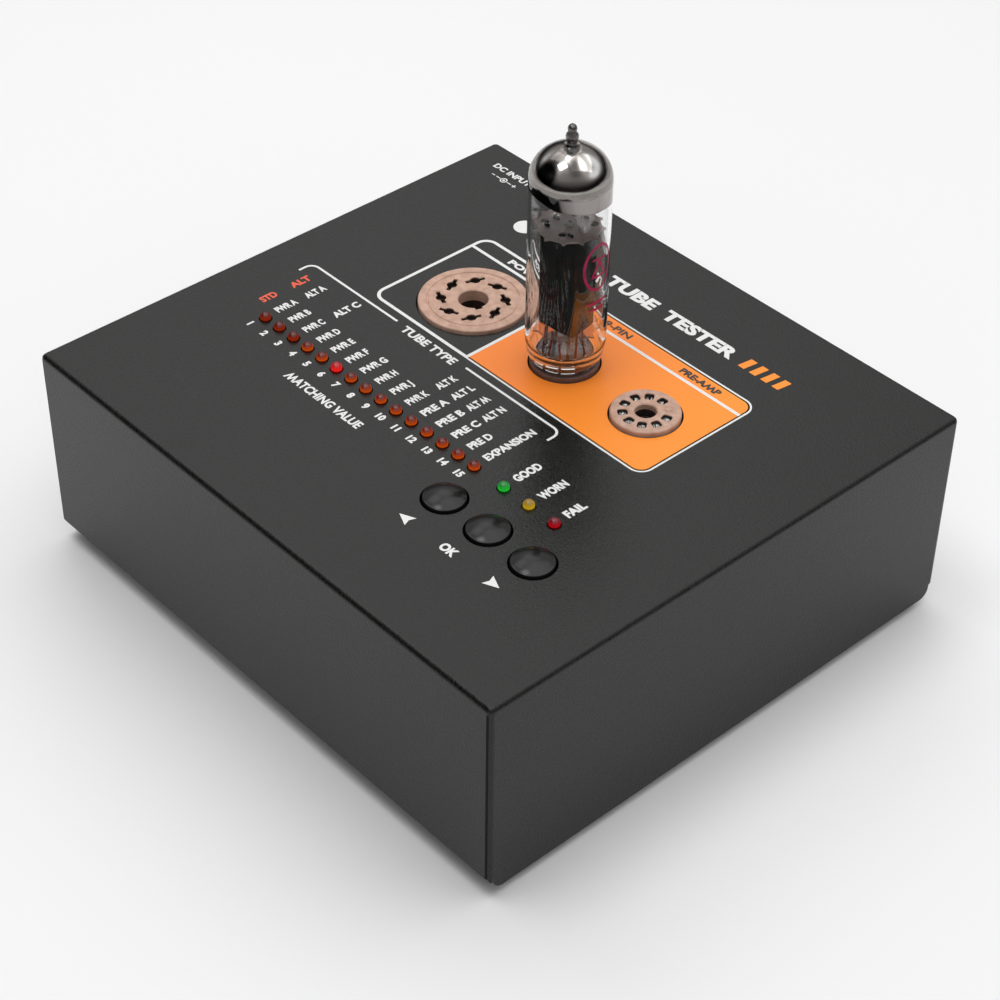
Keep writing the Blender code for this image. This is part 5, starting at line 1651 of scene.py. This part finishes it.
# ------------------------------------------------------------------ stage, light, camera
def build_stage():
    bm = bmesh.new()
    bmesh.ops.create_grid(bm, x_segments=24, y_segments=24, size=3.0)
    for v in bm.verts:
        v.co.z = FLOOR_Z
    me = bpy.data.meshes.new("floor")
    bm.to_mesh(me)
    bm.free()
    ob = bpy.data.objects.new("floor", me)
    me.materials.append(MATS["floor"].m)
    bpy.context.scene.collection.objects.link(ob)

    world = bpy.data.worlds.new("studio")
    bpy.context.scene.world = world
    world.use_nodes = True
    nt = world.node_tree
    bg = nt.nodes["Background"]
    bg.inputs["Color"].default_value = (1.0, 1.0, 1.0, 1.0)
    # soft white room, with its unlit side low down at the front left
    co = nt.nodes.new("ShaderNodeTexCoord")
    dot = nt.nodes.new("ShaderNodeVectorMath")
    dot.operation = "DOT_PRODUCT"
    nt.links.new(co.outputs["Generated"], dot.inputs[0])
    dot.inputs[1].default_value = Vector((-0.60, -0.72, 0.36)).normalized()
    fall = nt.nodes.new("ShaderNodeMapRange")
    fall.interpolation_type = "SMOOTHSTEP"
    fall.inputs["From Min"].default_value = 0.76
    fall.inputs["From Max"].default_value = 0.91
    fall.inputs["To Min"].default_value = 0.63
    fall.inputs["To Max"].default_value = 0.02
    nt.links.new(dot.outputs["Value"], fall.inputs["Value"])
    # and its dark skirting just above the horizon
    sep = nt.nodes.new("ShaderNodeSeparateXYZ")
    nt.links.new(co.outputs["Generated"], sep.inputs[0])
    rise = nt.nodes.new("ShaderNodeMapRange")
    rise.interpolation_type = "SMOOTHSTEP"
    rise.inputs["From Min"].default_value = 0.12
    rise.inputs["From Max"].default_value = 0.42
    rise.inputs["To Min"].default_value = 0.05
    nt.links.new(sep.outputs["Z"], rise.inputs["Value"])
    both = nt.nodes.new("ShaderNodeMath")
    both.operation = "MULTIPLY"
    nt.links.new(fall.outputs["Result"], both.inputs[0])
    nt.links.new(rise.outputs["Result"], both.inputs[1])
    # lit back wall, brightest behind and to the left, and the lit ceiling
    wall = nt.nodes.new("ShaderNodeVectorMath")
    wall.operation = "DOT_PRODUCT"
    nt.links.new(co.outputs["Generated"], wall.inputs[0])
    wall.inputs[1].default_value = Vector((-0.545, 0.440, 0.70)).normalized()
    total = both.outputs[0]
    for socket, lo, hi, gain in ((wall.outputs["Value"], 0.945, 0.999, 1.02), (sep.outputs["Z"], 0.80, 0.93, 0.46)):
        lobe = nt.nodes.new("ShaderNodeMapRange")
        lobe.interpolation_type = "SMOOTHSTEP"
        lobe.inputs["From Min"].default_value = lo
        lobe.inputs["From Max"].default_value = hi
        lobe.inputs["To Max"].default_value = gain
        nt.links.new(socket, lobe.inputs["Value"])
        plus = nt.nodes.new("ShaderNodeMath")
        plus.operation = "ADD"
        nt.links.new(total, plus.inputs[0])
        nt.links.new(lobe.outputs["Result"], plus.inputs[1])
        total = plus.outputs[0]
    nt.links.new(total, bg.inputs["Strength"])

    def area(name, at, look, size, power, color=(1, 1, 1)):
        li = bpy.data.lights.new(name, "AREA")
        li.shape = "RECTANGLE"
        li.size, li.size_y = size
        li.energy = power
        li.color = color
        ob = bpy.data.objects.new(name, li)
        ob.location = at
        ob.rotation_euler = (Vector(look) - Vector(at)).to_track_quat("-Z", "Y").to_euler()
        bpy.context.scene.collection.objects.link(ob)
        return ob

    area("softbox_top", (0.16, 0.40, 1.15), (0, 0, 0.05), (1.1, 1.1), 3.9)
    area("softbox_left", (-0.66, 0.02, 0.98), (0, 0, 0.06), (0.42, 0.42), 0.8)
    area("softbox_front", (-0.17, -0.33, 1.20), (0, 0, 0.06), (0.40, 0.40), 2.9)


def build_camera():
    cam = bpy.data.cameras.new("camera")
    cam.sensor_width = 36.0
    cam.lens = 87.2737
    cam.clip_start = 0.01
    cam.clip_end = 20.0
    ob = bpy.data.objects.new("camera", cam)
    loc = Vector((0.36972865, -0.33639687, 0.44125408))
    fwd = Vector((-0.56586278, 0.51911616, -0.64056047))
    up = Vector((-0.48140610, 0.42270632, 0.76783301))
    right = fwd.cross(up).normalized()
    up = right.cross(fwd).normalized()
    rot = Matrix((right, up, -fwd.normalized())).transposed()
    ob.matrix_world = Matrix.Translation(loc) @ rot.to_4x4()
    bpy.context.scene.collection.objects.link(ob)
    bpy.context.scene.camera = ob


def main():
    build_camera()
    build_materials()
    build_cover()
    build_seams()
    build_tray()
    build_feet()
    build_print()
    build_octal()
    build_noval(PREAMP, "noval_socket_preamp", "preamp_ceramic")
    build_noval(POWER, "noval_socket_power", "power_ceramic")
    build_lamps()
    build_buttons()
    build_jack()
    build_tube()
    dress_nodes()
    build_stage()
    bpy.context.scene.view_settings.view_transform = "Standard"


main()
